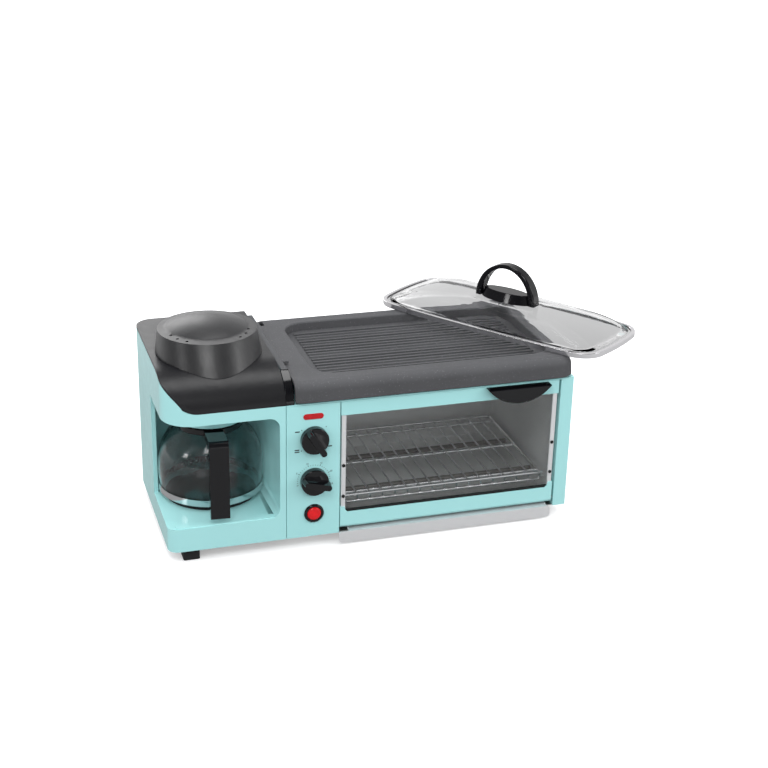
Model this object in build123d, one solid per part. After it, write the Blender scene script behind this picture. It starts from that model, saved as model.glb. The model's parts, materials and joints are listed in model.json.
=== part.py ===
from build123d import *
import math
import os

# Breakfast station: drip coffee maker, toaster oven and griddle in one cabinet.
# Millimetres. X runs to the right, Y to the back, Z up. While the pieces are drawn, x = 0 is the
# left side, y = 0 the front face and z = 0 the table. The last lines move them all so that the
# origin is at the middle of the whole object's footprint.

# Cabinet
cabinet_width = 490.0
cabinet_depth = 215.0
coffee_width = 137.0
panel_width = 63.4
roof_z = 184.0
deck_z = 222.0
rear_radius = 22.0
seam = 0.6
rest_gap = 0.3
shaft_gap = 0.08
snug_gap = 0.02
sheet = 1.5

# Feet
foot_height = 15.0
foot_width = 19.0
foot_length = 22.0
foot_front_y = 5.0
foot_rear_inset = 12.0
foot_left_x = 17.0
foot_right_inset = 53.0

# Coffee maker housing
wall = 5.0
bay_right_rim = 7.0
bay_rear_room = 57.0
bay_floor_z = 44.0
bay_top_z = 170.0
bay_corner = 12.0
bay_wall = 4.0
side_opening_inset = 58.0
mouth_reach = 60.0
base_rise = 40.0
floor_skin = 3.0
floor_rim_height = 1.5
floor_rim_width = 9.0
base_corner = 12.0
overhang_corner = 35.0
front_lip = 18.0
inner_front_corner = 25.0

# Deck over the coffee maker, with the front that curves down
deck_sheet = 2.5
fall_depth = 60.0
seam_round = 42.0
seam_round_x = 41.0
seam_round_depth = 36.0
seam_gap = 0.2
deck_mouth_inset = 5.2
deck_mouth_shift = 5.3
vent_angles = (41.0, 58.0, 75.0)

# Brewing parts
brew_left_shift = 0.5
brew_rear_gap = 4.3
boss_reach = 3.0
boss_drop = 28.0
boss_floor = 3.0
boss_wall = 4.0
valve_bore = 4.6
basket_top_inset = 0.5
basket_base_inset = 12.0
basket_height = 60.0
basket_wall = 1.8
valve_stem_radius = 3.2
valve_head_radius = 6.0
valve_head_height = 1.5
valve_tip_reach = 1.2
cage_radius = 8.0
cage_wall = 1.4
spring_radius = 5.2
spring_wall = 1.0
spring_length = 10.0
tank_left_x = 8.0
tank_right_inset = 19.0
tank_rear_gap = 0.5
tank_base_z = 26.0
tank_top_z = 211.0
tank_wall = 2.0
tank_lobe_depth = 25.0
tank_lobe_inset = 14.0
riser_inset = 11.0
riser_radius = 3.0
riser_z = 215.4
riser_bend = 8.0
shower_radius = 11.0
shower_height = 4.0
plate_inset = 6.0
plate_sheet = 1.4
plate_seat = 2.0
heater_hole_inset = 15.0
boiler_inset = 25.0
boiler_tube_radius = 3.6
boiler_half_gap = 30.0
boiler_stub = 9.0
hose_radius = 4.0

# Drum lid over the filter and the tank
drum_side_gap = 11.3
drum_shift = 8.3
drum_rim_z = 248.0
drum_foot_z = 210.0
drum_foot_side_gap = 5.5
drum_foot_reach = 15.8
drum_foot_shift = 0.8
drum_wall = 2.2
drum_gap = 0.5
dome_inset = 7.7
dome_height = 9.5
dome_shift = 4.5
steam_hole_radius = 1.8
steam_hole_inset = 10.7
steam_hole_shift = 5.0
lid_pin_reach = 13.3
lid_pin_z = 228.5
lid_pin_radius = 2.0
lid_pin_length = 46.0
lug_radius = 4.8
lug_width = 28.0
ear_width = 6.0
ear_gap = 0.5

# Carafe
carafe_base_z = 46.0
carafe_wall = 2.5
carafe_side_gap = 1.5
carafe_belly_reach = 1.0
carafe_foot_inset = 8.0
carafe_neck_inset = 25.5
carafe_side_z = 62.0
carafe_belly_z = 88.0
carafe_neck_z = 136.0
carafe_shoulder_inset = 7.5
carafe_shoulder_z = 116.0
band_z = 51.6
band_height = 7.8
band_sheet = 0.8
collar_reach = 3.5
collar_z = 132.0
collar_height = 6.4
collar_wall = 4.0
carafe_lid_height = 2.0
carafe_lid_plug = 2.0
carafe_lid_inset = 2.0
handle_reach = 35.2
handle_width = 22.0
handle_top_z = 149.0
handle_turn = -4.4
handle_depth = 11.0
handle_foot_z = 52.0
handle_bend = 6.0
handle_inner_bend = 2.5

# Control panel
knob_inset = 32.0
function_z = 139.7
timer_z = 87.3
knob_radius = 16.3
knob_base = 8.0
knob_reach = 19.0
knob_gap = 1.0
grip_width = 9.5
grip_overhang = 2.6
grip_top_width = 7.0
function_angle = 148.0
timer_angle = 104.0
shaft_radius = 3.0
switch_width = 30.0
switch_depth = 22.0
timer_case_width = 44.0
timer_case_depth = 30.0
button_inset = 32.4
button_z = 44.9
button_radius = 8.2
button_reach = 3.5
button_length = 14.0
bezel_radius = 11.8
bezel_reach = 2.4
bezel_flange = 2.4
button_case = 20.0
button_case_depth = 18.0
button_travel = 2.5
window_inset = 31.4
window_z = 168.0
window_width = 24.0
window_height = 7.0
window_reach = 0.8
lamp_radius = 3.0
lamp_length = 16.0

# Oven case and cavity
strip_width = 17.0
front_return = 14.0
roof_hole_margin_x = 22.0
roof_hole_front_y = 40.0
roof_hole_back_inset = 35.0
cavity_left_inset = 6.0
cavity_right_inset = 21.5
cavity_back_inset = 9.0
cavity_floor_z = 25.0
cavity_top_z = 180.0
liner_sheet = 1.0
slot_width = 8.0
slot_length = 10.0
slot_pitch = 13.0
slot_front_y = 52.0
slot_back_inset = 45.0
heater_radius = 3.25
lower_heater_z = 35.5
upper_heater_z = 171.0
heater_front_y = 68.0
heater_back_inset = 63.0
end_block_width = 14.0
end_block_length = 3.6
runner_z = 48.0
runner_width = 5.0
runner_rear_gap = 13.0
runner_height = 2.0

# Oven door
door_left_gap = 0.8
door_right_gap = 2.8
door_sheet = 1.2
door_thickness = 10.0
door_axis_z = 25.0
door_top_z = 182.2
top_rail_height = 17.0
bottom_rail_top_z = 41.0
inner_corner = 7.0
strip_face = 5.2
glass_sheet = 3.0
glass_bite = 5.0
gasket_height = 3.0
gasket_sheet = 1.0
rivet_radius = 1.5
rivet_head = 0.7
rivet_tail = 1.3
rivet_heights = (61.5, 101.0)
pin_radius = 2.0
pin_length = 16.0
pull_length = 79.0
pull_right_inset = 14.2
pull_height = 19.0
pull_reach = 13.0
pull_wall = 3.2
pull_plate = 2.4
pull_screw_radius = 2.0
pull_screw_span = 46.0

# Rack and crumb tray
rack_drop = 8.5
rack_corner = 6.0
rack_bend = 3.0
rail_reach = 1.3
weld = 0.4
rack_front_y = 21.0
rack_rear_gap = 9.0
rack_side_gap = 6.0
frame_wire = 1.7
grid_wire = 1.15
grid_count = 15
tray_sheet = 1.0
tray_lift = 0.3
tray_hem = 2.4
tray_left_gap = 5.0
tray_right_gap = 4.5
tray_rear_inset = 23.5
lip_left_reach = 1.5
lip_right_inset = 2.7
lip_front_y = -4.5
lip_sheet = 1.2
lip_foot_z = 3.2
lip_top_z = 17.6
lip_corner = 4.0

# Griddle
griddle_left_gap = 2.0
griddle_front_y = -5.0
griddle_back_reach = 2.0
griddle_skirt_z = 187.0
griddle_rim_z = 210.0
griddle_taper = 5.0
griddle_corner = 20.0
griddle_round = 11.0
griddle_wall = 3.2
pan_left_inset = 38.0
pan_right_inset = 20.0
pan_front_y = 23.0
pan_back_inset = 27.0
pan_corner = 27.0
pan_floor_z = 199.0
pan_floor = 3.5
ridge_height = 2.0
ridge_width = 3.2
ridge_pitch = 8.6
ridge_margin = 13.0
rib_width = 8.0
rib_front_y = 30.0
rib_top_z = 216.0
tab_front_y = 56.0
tab_length = 8.0
tab_reach = 7.0
margin_hole_inset = 21.0
margin_hole_gap = 7.0
margin_hole_length = 14.0
margin_hole_width = 5.0
peg_radius = 6.0
peg_inset_x = 12.0
peg_inset_y = 13.0
trim_gap = 0.4
trim_right_gap = 1.2

# Glass lid, which lies askew on the griddle
glass_lid_length = 322.0
glass_lid_width = 138.0
glass_lid_right_inset = 33.0
glass_lid_back_inset = 71.5
glass_lid_turn = -53.7
long_bow = 5.0
short_bow = 6.0
lid_corner = 30.0
lid_glass = 4.0
lid_edge_lift = 1.2
lid_dome = 19.5
dome_steps = ((1.0, 0.0), (0.84, 0.55), (0.58, 0.88), (0.3, 1.0))
rim_height = 6.2
rim_proud = 1.2
rim_width = 4.6
base_length = 72.0
base_width = 30.0
base_height = 12.0
base_taper_x = 5.0
base_taper_y = 4.0
loop_width = 86.0
loop_height = 46.0
loop_side = 8.0
loop_top = 4.8
loop_depth = 14.0
loop_round = 2.0
lid_screw_radius = 4.0
lid_screw_head = 7.0
lid_screw_head_height = 2.5

# Bottom plate and back cover
plate = 1.2
cover_inset = 24.0
cover_low_z = 19.0
cover_high_z = 179.0
cover_lap = 8.0
cover_sheet = 1.2
louvre_left_x = 60.0
louvre_right_insets = (190.0, 110.0)
louvre_count = 9
louvre_width = 34.0
louvre_height = 3.0
louvre_pitch = 8.0
louvre_z = 96.0
inlet_inset = 31.0
inlet_z = 40.0
inlet_radius = 8.0
inlet_bore = 4.2
inlet_reach = 9.0
inlet_flange = 11.0
inlet_flange_thick = 2.0
inlet_inside = 5.0
screw_radius = 1.6
screw_head_radius = 3.2
screw_head_height = 1.6
screw_length = 5.5
cover_screw_inset = 180.0
foot_screw_recess = 8.0


def block(x0, x1, y0, y1, z0, z1):
    """Box between two corners."""
    middle = ((x0 + x1) / 2, (y0 + y1) / 2, (z0 + z1) / 2)
    return Pos(*middle) * Box(x1 - x0, y1 - y0, z1 - z0)


def rounded_block(x0, x1, y0, y1, z0, z1, **radii):
    """Box with some upright edges rounded, each named by its corner, such as back_left."""
    solid = block(x0, x1, y0, y1, z0, z1)
    for corner, radius in radii.items():
        x = x0 if corner.endswith("left") else x1
        y = y0 if corner.startswith("front") else y1
        edge = solid.edges().filter_by(Axis.Z).sort_by_distance((x, y, (z0 + z1) / 2))[0]
        solid = fillet(edge, radius)
    return solid


def upright(x, y, z0, z1, radius):
    """Cylinder standing along Z."""
    return Pos(x, y, (z0 + z1) / 2) * Cylinder(radius, z1 - z0)


def across(x0, x1, y, z, radius):
    """Cylinder lying along X."""
    return Pos((x0 + x1) / 2, y, z) * Rot(0, 90, 0) * Cylinder(radius, x1 - x0)


def inward(x, z, y0, y1, radius):
    """Cylinder lying along Y."""
    return Pos(x, (y0 + y1) / 2, z) * Rot(90, 0, 0) * Cylinder(radius, y1 - y0)


def extrude_inward(sketch, y0, y1):
    """Sketch in X and Z, extruded from y0 back to y1."""
    return extrude(Plane.XZ.offset(-y1) * sketch, amount=y1 - y0)


def turned(points, x, y):
    """Solid of revolution about the upright axis at x, y, from a closed outline of radius and height."""
    face = make_face(Polyline(*points, close=True))
    return Pos(x, y, 0) * revolve(Plane.XZ * face, Axis.Z)


def rod(points, bend, radius):
    """Round bar along straight runs joined by arcs."""
    path = FilletPolyline(*points, radius=bend)
    section = Plane(origin=path @ 0, z_dir=path % 0) * Circle(radius)
    return sweep(section, path=path)


def side_form(x0, x1, inset, low_z):
    """Solid under the deck's curved side view, drawn in from the deck's surface by inset."""
    fall_height = deck_z - roof_z
    arc = EllipticalCenterArc((fall_depth, roof_z), fall_depth - inset, fall_height - inset, 90, arc_size=90)
    sides = Polyline(
        (inset, roof_z),
        (inset, low_z),
        (cabinet_depth, low_z),
        (cabinet_depth, deck_z - inset),
        (fall_depth, deck_z - inset),
    )
    face = make_face([arc, sides])
    return extrude(Plane.YZ.offset(x0) * face, amount=x1 - x0)


# Places worked out from the sizes above
deck_under = deck_sheet + seam_gap
foot_right_x = cabinet_width - foot_right_inset
bay_right_x = coffee_width - bay_right_rim
bay_depth = cabinet_depth - bay_rear_room
side_opening_depth = bay_depth - side_opening_inset
carafe_radius = (bay_right_x - wall) / 2 - carafe_side_gap
carafe_belly_radius = carafe_radius + carafe_belly_reach
carafe_foot_radius = carafe_radius - carafe_foot_inset
carafe_neck_radius = carafe_radius - carafe_neck_inset
carafe_shoulder_x = carafe_radius - carafe_shoulder_inset
collar_radius = carafe_neck_radius + collar_reach
carafe_lid_radius = collar_radius - carafe_lid_inset
brew_x = (wall + bay_right_x) / 2 - brew_left_shift
brew_y = bay_depth - carafe_radius - brew_rear_gap
handle_front_y = brew_y - carafe_radius - handle_reach
boss_radius = collar_radius + boss_reach
basket_top_radius = boss_radius - basket_top_inset
basket_base_radius = boss_radius - basket_base_inset
plate_radius = carafe_radius - plate_inset
heater_hole_radius = carafe_radius - heater_hole_inset
boiler_radius = carafe_radius - boiler_inset
tank_width = coffee_width - tank_left_x - tank_right_inset
tank_lobe_left_x = tank_left_x + tank_lobe_inset
tank_back_y = cabinet_depth - wall - tank_rear_gap
riser_x = coffee_width - riser_inset
riser_y = (bay_depth + bay_wall + cabinet_depth - wall) / 2
drum_x = coffee_width / 2
drum_y = brew_y + drum_shift
drum_radius = drum_x - drum_side_gap
drum_foot_y = brew_y + drum_foot_shift
drum_foot_half_width = drum_x - drum_foot_side_gap
drum_foot_half_depth = drum_radius + drum_foot_reach
deck_mouth_radius = drum_radius - deck_mouth_inset
deck_mouth_y = brew_y + deck_mouth_shift
dome_radius = drum_radius - dome_inset
dome_y = drum_y + dome_shift
steam_hole_circle = drum_radius - steam_hole_inset
steam_hole_y = drum_y - steam_hole_shift
lid_pin_y = drum_y + drum_radius + lid_pin_reach
panel_left_x = coffee_width + seam
panel_right_x = panel_left_x + panel_width
knob_x = panel_left_x + knob_inset
button_x = panel_left_x + button_inset
window_x = panel_left_x + window_inset
inlet_x = coffee_width + inlet_inset
waist_z = bay_floor_z + base_rise
panel_top_z = roof_z - sheet - rest_gap
boss_z = bay_top_z - boss_drop
valve_tip_z = boss_z - valve_tip_reach
basket_z = boss_z + boss_floor + rest_gap
cavity_left_x = panel_right_x + cavity_left_inset
cavity_right_x = cabinet_width - cavity_right_inset
cavity_back_y = cabinet_depth - cavity_back_inset
roof_hole_back_y = cabinet_depth - roof_hole_back_inset
slot_rows_y = (slot_front_y, cabinet_depth - slot_back_inset)
heater_rows_y = (heater_front_y, cabinet_depth - heater_back_inset)
runner_length = cavity_back_y - rack_front_y - runner_rear_gap
rack_depth = cavity_back_y - rack_front_y - rack_rear_gap
door_left_x = panel_right_x + door_left_gap
door_right_x = cabinet_width - strip_width - door_right_gap
door_axis_y = door_thickness / 2
pull_right_x = door_right_x - pull_right_inset
pull_left_x = pull_right_x - pull_length
tray_left_x = cavity_left_x + tray_left_gap
tray_right_x = cavity_right_x - tray_right_gap
tray_back_y = cabinet_depth - tray_rear_inset
lip_left_x = panel_right_x - lip_left_reach
lip_right_x = door_right_x - lip_right_inset
griddle_left_x = coffee_width + griddle_left_gap
griddle_right_x = cabinet_width
griddle_back_y = cabinet_depth + griddle_back_reach
pan_left_x = griddle_left_x + pan_left_inset
pan_right_x = griddle_right_x - pan_right_inset
pan_back_y = griddle_back_y - pan_back_inset
rib_right_x = griddle_left_x + rib_width
margin_hole_x = rib_right_x + margin_hole_gap
margin_hole_y = griddle_back_y - margin_hole_inset
glass_lid_x = cabinet_width - glass_lid_right_inset
glass_lid_y = cabinet_depth - glass_lid_back_inset
cover_left_x = cover_inset
cover_right_x = cabinet_width - cover_inset
louvre_columns = (louvre_left_x, *(cabinet_width - inset for inset in louvre_right_insets))
cavity_front_y = front_return + rest_gap
plate_top_z = foot_height + plate
glass_lid_z = griddle_rim_z + rest_gap
cover_back_y = cabinet_depth + cover_sheet
opening_low_z = cover_low_z + cover_lap
opening_high_z = cover_high_z - cover_lap
screw_tip_y = cover_back_y - screw_length


def seam_corner(gap):
    """Zone below the deck's round lower left corner, which the housing fills, kept clear by gap."""
    centre_z = roof_z + seam_round
    zone = block(-1, seam_round_x, -1, seam_round_depth - gap, roof_z - 1, deck_z)
    return zone - inward(seam_round_x, centre_z, -2, seam_round_depth + 1, seam_round + gap)


def make_coffee_housing():
    low = rounded_block(
        0, coffee_width, 0, cabinet_depth, foot_height, waist_z,
        front_left=base_corner, back_left=rear_radius,
    )
    plan = rounded_block(
        0, coffee_width, 0, cabinet_depth, waist_z - 1, deck_z,
        front_left=overhang_corner, back_left=rear_radius,
    )
    head = block(0, coffee_width, 0, cabinet_depth, waist_z - 1, roof_z)
    head += side_form(0, coffee_width, deck_under, roof_z - 1)
    head += side_form(0, coffee_width, 0, roof_z - 1) & seam_corner(seam_gap)
    body = low + (head & plan)
    mouth = Pos((bay_right_x - mouth_reach) / 2, (bay_floor_z + bay_top_z) / 2) * RectangleRounded(
        bay_right_x + mouth_reach, bay_top_z - bay_floor_z, bay_corner
    )
    bay = extrude_inward(mouth, -1, bay_depth)
    bay -= block(-mouth_reach - 1, wall, side_opening_depth, bay_depth + 1, 0, deck_z)
    body -= bay
    rim = bay_floor_z + floor_rim_height
    body += block(floor_rim_width, bay_right_x - 1, 1, floor_rim_width, bay_floor_z - 1, rim)
    body += upright(brew_x, brew_y, boss_z, bay_top_z + 1, boss_radius)
    right = coffee_width - bay_wall
    rear_y = bay_depth + bay_wall
    inner_back = cabinet_depth - wall
    inner_radius = rear_radius - wall
    body -= rounded_block(
        wall, right, front_lip, inner_back, bay_top_z + floor_skin, deck_z,
        front_left=inner_front_corner, back_left=inner_radius,
    )
    body -= rounded_block(
        wall, right, rear_y, inner_back, foot_height - 1, bay_top_z + 4, back_left=inner_radius
    )
    body -= block(wall, right, wall, rear_y + 1, foot_height - 1, bay_floor_z - floor_skin)
    boss_well = boss_radius - boss_wall
    body -= upright(brew_x, brew_y, boss_z + boss_floor, bay_top_z + 5, boss_well)
    body -= upright(brew_x, brew_y, boss_z - 1, boss_z + 5, valve_bore)
    body -= upright(brew_x, brew_y, bay_floor_z - 5, bay_floor_z + 1, heater_hole_radius)
    body -= upright(brew_x, brew_y, bay_floor_z, bay_floor_z + plate_seat, plate_radius + rest_gap)
    body -= block(
        cover_left_x + cover_lap, right, inner_back - 1, cabinet_depth + 1,
        opening_low_z, opening_high_z,
    )
    for shank in cover_screw_shanks():
        body -= shank
    return body


def make_top_deck():
    right = coffee_width
    deck = side_form(0, right, 0, roof_z - 1) - side_form(-1, right + 1, deck_sheet, roof_z - 2)
    deck &= rounded_block(
        0, right, 0, cabinet_depth, roof_z, deck_z + 1,
        front_left=overhang_corner, back_left=rear_radius,
    )
    deck -= seam_corner(0)
    deck -= upright(drum_x, deck_mouth_y, deck_z - 10, deck_z + 1, deck_mouth_radius)
    for side in (-1, 1):
        x = drum_x + side * (lug_width + ear_width + 2 * ear_gap) / 2
        low, high = x - ear_width / 2, x + ear_width / 2
        ear = across(low, high, lid_pin_y, lid_pin_z, lug_radius)
        ear += block(low, high, lid_pin_y - lug_radius, lid_pin_y + lug_radius, deck_z - 1, lid_pin_z)
        deck += ear - across(low - 1, high + 1, lid_pin_y, lid_pin_z, lid_pin_radius)
    return deck


def make_drum(inset):
    """Drum form of the lid, with its wall drawn in by inset."""
    foot = Plane((drum_x, drum_foot_y, drum_foot_z)) * Ellipse(
        drum_foot_half_width - inset, drum_foot_half_depth - inset
    )
    top = Plane((drum_x, drum_y, drum_rim_z - inset)) * Circle(drum_radius - inset)
    return loft([foot, top])


def make_dome(shrink):
    """Part of a ball whose cap stands dome_height above the drum's rim."""
    ball = (dome_radius**2 + dome_height**2) / (2 * dome_height)
    cap = Pos(drum_x, dome_y, drum_rim_z + dome_height - ball) * Sphere(ball - shrink)
    return cap & upright(drum_x, dome_y, drum_rim_z - drum_wall, drum_rim_z + 20, dome_radius + 2)


def make_drum_lid():
    lid = make_drum(0) - make_drum(drum_wall)
    lid += make_dome(0)
    lid -= make_dome(drum_wall)
    for angle in vent_angles:
        for side in (-1, 1):
            turn = math.radians(270 + side * angle)
            x = drum_x + steam_hole_circle * math.cos(turn)
            y = steam_hole_y + steam_hole_circle * math.sin(turn)
            lid -= upright(x, y, drum_rim_z - 5, drum_rim_z + 9, steam_hole_radius)
    low, high = drum_x - lug_width / 2, drum_x + lug_width / 2
    lug = across(low, high, lid_pin_y, lid_pin_z, lug_radius)
    lug += block(low, high, drum_y + drum_radius - 2, lid_pin_y, lid_pin_z - 3, lid_pin_z + lug_radius)
    lug -= make_drum(drum_wall)
    lid += lug
    lid -= across(low - 1, high + 1, lid_pin_y, lid_pin_z, lid_pin_radius + shaft_gap)
    lid -= side_form(-1, coffee_width + 1, -drum_gap, roof_z - 20)
    return lid


def make_lid_pin():
    half = lid_pin_length / 2
    return across(drum_x - half, drum_x + half, lid_pin_y, lid_pin_z, lid_pin_radius)


def make_filter_basket():
    top_z = basket_z + basket_height
    outside = [(0, basket_z), (basket_base_radius, basket_z), (basket_top_radius, top_z)]
    inside = [
        (basket_top_radius - basket_wall, top_z),
        (basket_base_radius - basket_wall, basket_z + basket_wall),
        (0, basket_z + basket_wall),
    ]
    basket = turned(outside + inside, brew_x, brew_y)
    floor_z = basket_z + basket_wall
    cage_top = cage_roof_z() + cage_wall
    basket += upright(brew_x, brew_y, floor_z, cage_top, cage_radius)
    basket -= upright(brew_x, brew_y, floor_z, cage_roof_z(), cage_radius - cage_wall)
    basket -= upright(brew_x, brew_y, basket_z - 1, floor_z + 1, valve_stem_radius + rest_gap)
    for turn in (0, 90):
        slot = Box(3 * cage_radius, 3.0, 3.0)
        basket -= Pos(brew_x, brew_y, floor_z + 6) * Rot(0, 0, turn) * slot
    return basket


def cage_roof_z():
    """Underside of the cage roof over the valve spring."""
    return basket_z + basket_wall + rest_gap + valve_head_height + spring_length


def make_drip_valve():
    head_z = basket_z + basket_wall + rest_gap
    valve = upright(brew_x, brew_y, valve_tip_z, head_z + 0.5, valve_stem_radius)
    return valve + upright(brew_x, brew_y, head_z, head_z + valve_head_height, valve_head_radius)


def make_valve_spring():
    low = basket_z + basket_wall + rest_gap + valve_head_height + 0.1
    sleeve = upright(brew_x, brew_y, low, cage_roof_z(), spring_radius)
    return sleeve - upright(brew_x, brew_y, low, cage_roof_z(), spring_radius - spring_wall)


def make_water_tank():
    lobe_z = bay_top_z + floor_skin + rest_gap
    front = bay_depth + bay_wall + 1.0
    right = tank_left_x + tank_width
    lobe_front = front - tank_lobe_depth
    lobe_left = tank_lobe_left_x

    def shape(inset, top):
        main = rounded_block(
            tank_left_x + inset, right - inset, front + inset, tank_back_y - inset,
            tank_base_z + inset, top, back_left=16 - inset,
        )
        lobe = block(
            lobe_left + inset, right - inset, lobe_front + inset, front + inset + 1, lobe_z + inset, top
        )
        return main + lobe

    return shape(0, tank_top_z) - shape(tank_wall, tank_top_z + 1)


def boiler_end(side):
    """Where the boiler tube stops, on its open side towards the back."""
    turn = math.radians(90 + side * boiler_half_gap)
    return brew_x + boiler_radius * math.cos(turn), brew_y + boiler_radius * math.sin(turn)


def boiler_z():
    """Height of the boiler tube's centre line under the warming plate."""
    return bay_floor_z - boiler_tube_radius - 0.1


def make_boiler_tube():
    centre = (brew_x, brew_y, boiler_z())
    sweep_angle = 360 - 2 * boiler_half_gap
    path = Plane(centre) * CenterArc((0, 0), boiler_radius, 90 + boiler_half_gap, sweep_angle)
    section = Plane(origin=path @ 0, z_dir=path % 0) * Circle(boiler_tube_radius)
    tube = sweep(section, path=path)
    for side in (-1, 1):
        x, y = boiler_end(side)
        tube += upright(x, y, boiler_z() - boiler_stub, boiler_z(), boiler_tube_radius)
        tube += Pos(x, y, boiler_z()) * Sphere(boiler_tube_radius)
    return tube


def make_water_hoses():
    top_z = boiler_z() - boiler_stub
    hose_z = plate_top_z + hose_radius + 1
    hoses = []
    tank_outlet_x = tank_left_x + tank_width / 4
    ends = ((1, tank_outlet_x, riser_y, tank_base_z), (-1, riser_x, riser_y, top_z + 2))
    for side, end_x, end_y, end_z in ends:
        x, y = boiler_end(side)
        start = (x, y, top_z)
        route = [start, (x, y, hose_z), (end_x, end_y, hose_z), (end_x, end_y, end_z)]
        hoses.append(rod(route, 3.0, hose_radius * 0.6))
    return hoses


def make_spray_tube():
    low_z = boiler_z() - boiler_stub + 2
    corners = [(riser_x, riser_y, low_z), (riser_x, riser_y, riser_z), (brew_x, brew_y, riser_z)]
    tube = rod(corners, riser_bend, riser_radius)
    head_z = riser_z - shower_height / 2 - 1
    return tube + upright(brew_x, brew_y, head_z, head_z + shower_height, shower_radius)


def make_warming_plate():
    low = bay_floor_z
    top = carafe_base_z - rest_gap
    disc = upright(brew_x, brew_y, low, low + plate_sheet, plate_radius)
    pad = upright(brew_x, brew_y, low, top, plate_radius - 3)
    return disc + pad - upright(brew_x, brew_y, low - 1, low + 0.2, plate_radius - 8)


def carafe_section(inset):
    """Half outline of the jar, from its axis at the base to the neck, drawn in by inset."""
    base = carafe_base_z + inset
    side = carafe_radius - inset
    belly = carafe_belly_radius - inset
    neck = carafe_neck_radius - inset
    foot = carafe_foot_radius - inset
    lower = Polyline((0, carafe_neck_z), (0, base), (foot, base))
    heel = ThreePointArc((foot, base), (side - 2.6, base + 2.6), (side, base + 5))
    wall_line = Line((side, base + 5), (side, carafe_side_z))
    cheek_z = (carafe_side_z + carafe_belly_z) / 2 + 5
    cheek = ThreePointArc((side, carafe_side_z), (belly, cheek_z), (belly - 0.6, carafe_belly_z))
    shoulder = ThreePointArc(
        (belly - 0.6, carafe_belly_z),
        (carafe_shoulder_x - inset, carafe_shoulder_z - inset),
        (neck, carafe_neck_z - 2),
    )
    top = Polyline((neck, carafe_neck_z - 2), (neck, carafe_neck_z), (0, carafe_neck_z))
    return make_face([lower, heel, wall_line, cheek, shoulder, top])


def make_carafe_glass():
    outer = revolve(Plane.XZ * carafe_section(0), Axis.Z)
    inner = revolve(Plane.XZ * carafe_section(carafe_wall), Axis.Z)
    inner += upright(0, 0, carafe_neck_z - 3, carafe_neck_z + 1, carafe_neck_radius - carafe_wall)
    return Pos(brew_x, brew_y, 0) * (outer - inner)


def make_carafe_band():
    top = band_z + band_height
    ring = upright(brew_x, brew_y, band_z, top, carafe_radius + band_sheet)
    return ring - upright(brew_x, brew_y, band_z - 1, top + 1, carafe_radius + snug_gap)


def make_carafe_handle():
    top = collar_z + collar_height
    ring = upright(brew_x, brew_y, collar_z, top, collar_radius)
    root_y = brew_y - collar_radius + 3
    inner_y = handle_front_y + handle_depth
    outer = FilletPolyline(
        (root_y, top - 0.2),
        (handle_front_y, handle_top_z),
        (handle_front_y, handle_foot_z),
        (inner_y, handle_foot_z),
        (inner_y, handle_top_z - handle_depth),
        (root_y, collar_z + 0.2),
        radius=[handle_bend, 3, 3, handle_inner_bend],
    )
    face = make_face([outer, Line(outer @ 1, outer @ 0)])
    left = brew_x - handle_width / 2
    grip = extrude(Plane.YZ.offset(left) * face, amount=handle_width)
    handle = ring + Pos(brew_x, brew_y, 0) * Rot(0, 0, handle_turn) * Pos(-brew_x, -brew_y, 0) * grip
    handle -= upright(brew_x, brew_y, collar_z - 1, top + 1, collar_radius - collar_wall)
    handle += upright(brew_x, brew_y, collar_z, carafe_neck_z - 1, collar_radius - 1)
    return handle - Pos(brew_x, brew_y, 0) * revolve(Plane.XZ * carafe_section(0), Axis.Z)


def make_carafe_lid():
    low = collar_z + collar_height
    top = low + carafe_lid_height
    lid = upright(brew_x, brew_y, low, top, carafe_lid_radius)
    lid += upright(brew_x, brew_y, low - carafe_lid_plug, low, collar_radius - collar_wall - rest_gap)
    lid -= upright(brew_x, brew_y, top - 1.2, top + 1, valve_head_radius + 4)
    return lid - upright(brew_x + 2.2 * valve_head_radius, brew_y, low - 5, top + 1, 2.0)


def make_control_panel():
    left, right = panel_left_x, panel_right_x
    panel = block(left, right, 0, front_return, foot_height, panel_top_z)
    panel -= block(
        left + sheet, right - sheet, sheet, front_return + 1, foot_height + sheet, panel_top_z - sheet
    )
    edges = panel.edges().filter_by(Axis.Z).group_by(Axis.Y)[0]
    panel = fillet(edges, 1.0)
    for z in (function_z, timer_z):
        panel -= inward(knob_x, z, -1, sheet + 1, shaft_radius + rest_gap)
    panel -= inward(button_x, button_z, -1, sheet + 1, bezel_radius - bezel_flange + rest_gap)
    pill = Pos(window_x, window_z) * SlotOverall(window_width - 2, window_height - 2)
    panel -= extrude_inward(pill, -1, sheet + 1)
    panel -= across(right - sheet - 1, right + 1, door_axis_y, door_axis_z, pin_radius + shaft_gap)
    return panel


def make_lamp_window():
    rim = Pos(window_x, window_z) * SlotOverall(window_width, window_height)
    core = Pos(window_x, window_z) * SlotOverall(window_width - 2.4, window_height - 2.4)
    return extrude_inward(rim, -window_reach, 0) + extrude_inward(core, -0.1, sheet + 0.5)


def make_lamp_body():
    y = sheet + 0.5 + rest_gap + lamp_radius
    tube = across(window_x - lamp_length / 2, window_x + lamp_length / 2, y, window_z, lamp_radius)
    half = lamp_length / 2 + 3
    low = window_z - lamp_radius - 1.5
    holder = block(window_x - half, window_x + half, sheet, y + lamp_radius, low - 2, low + 1)
    return tube + holder + block(window_x - 2, window_x + 2, y - 1, y + 1, low, window_z)


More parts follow.
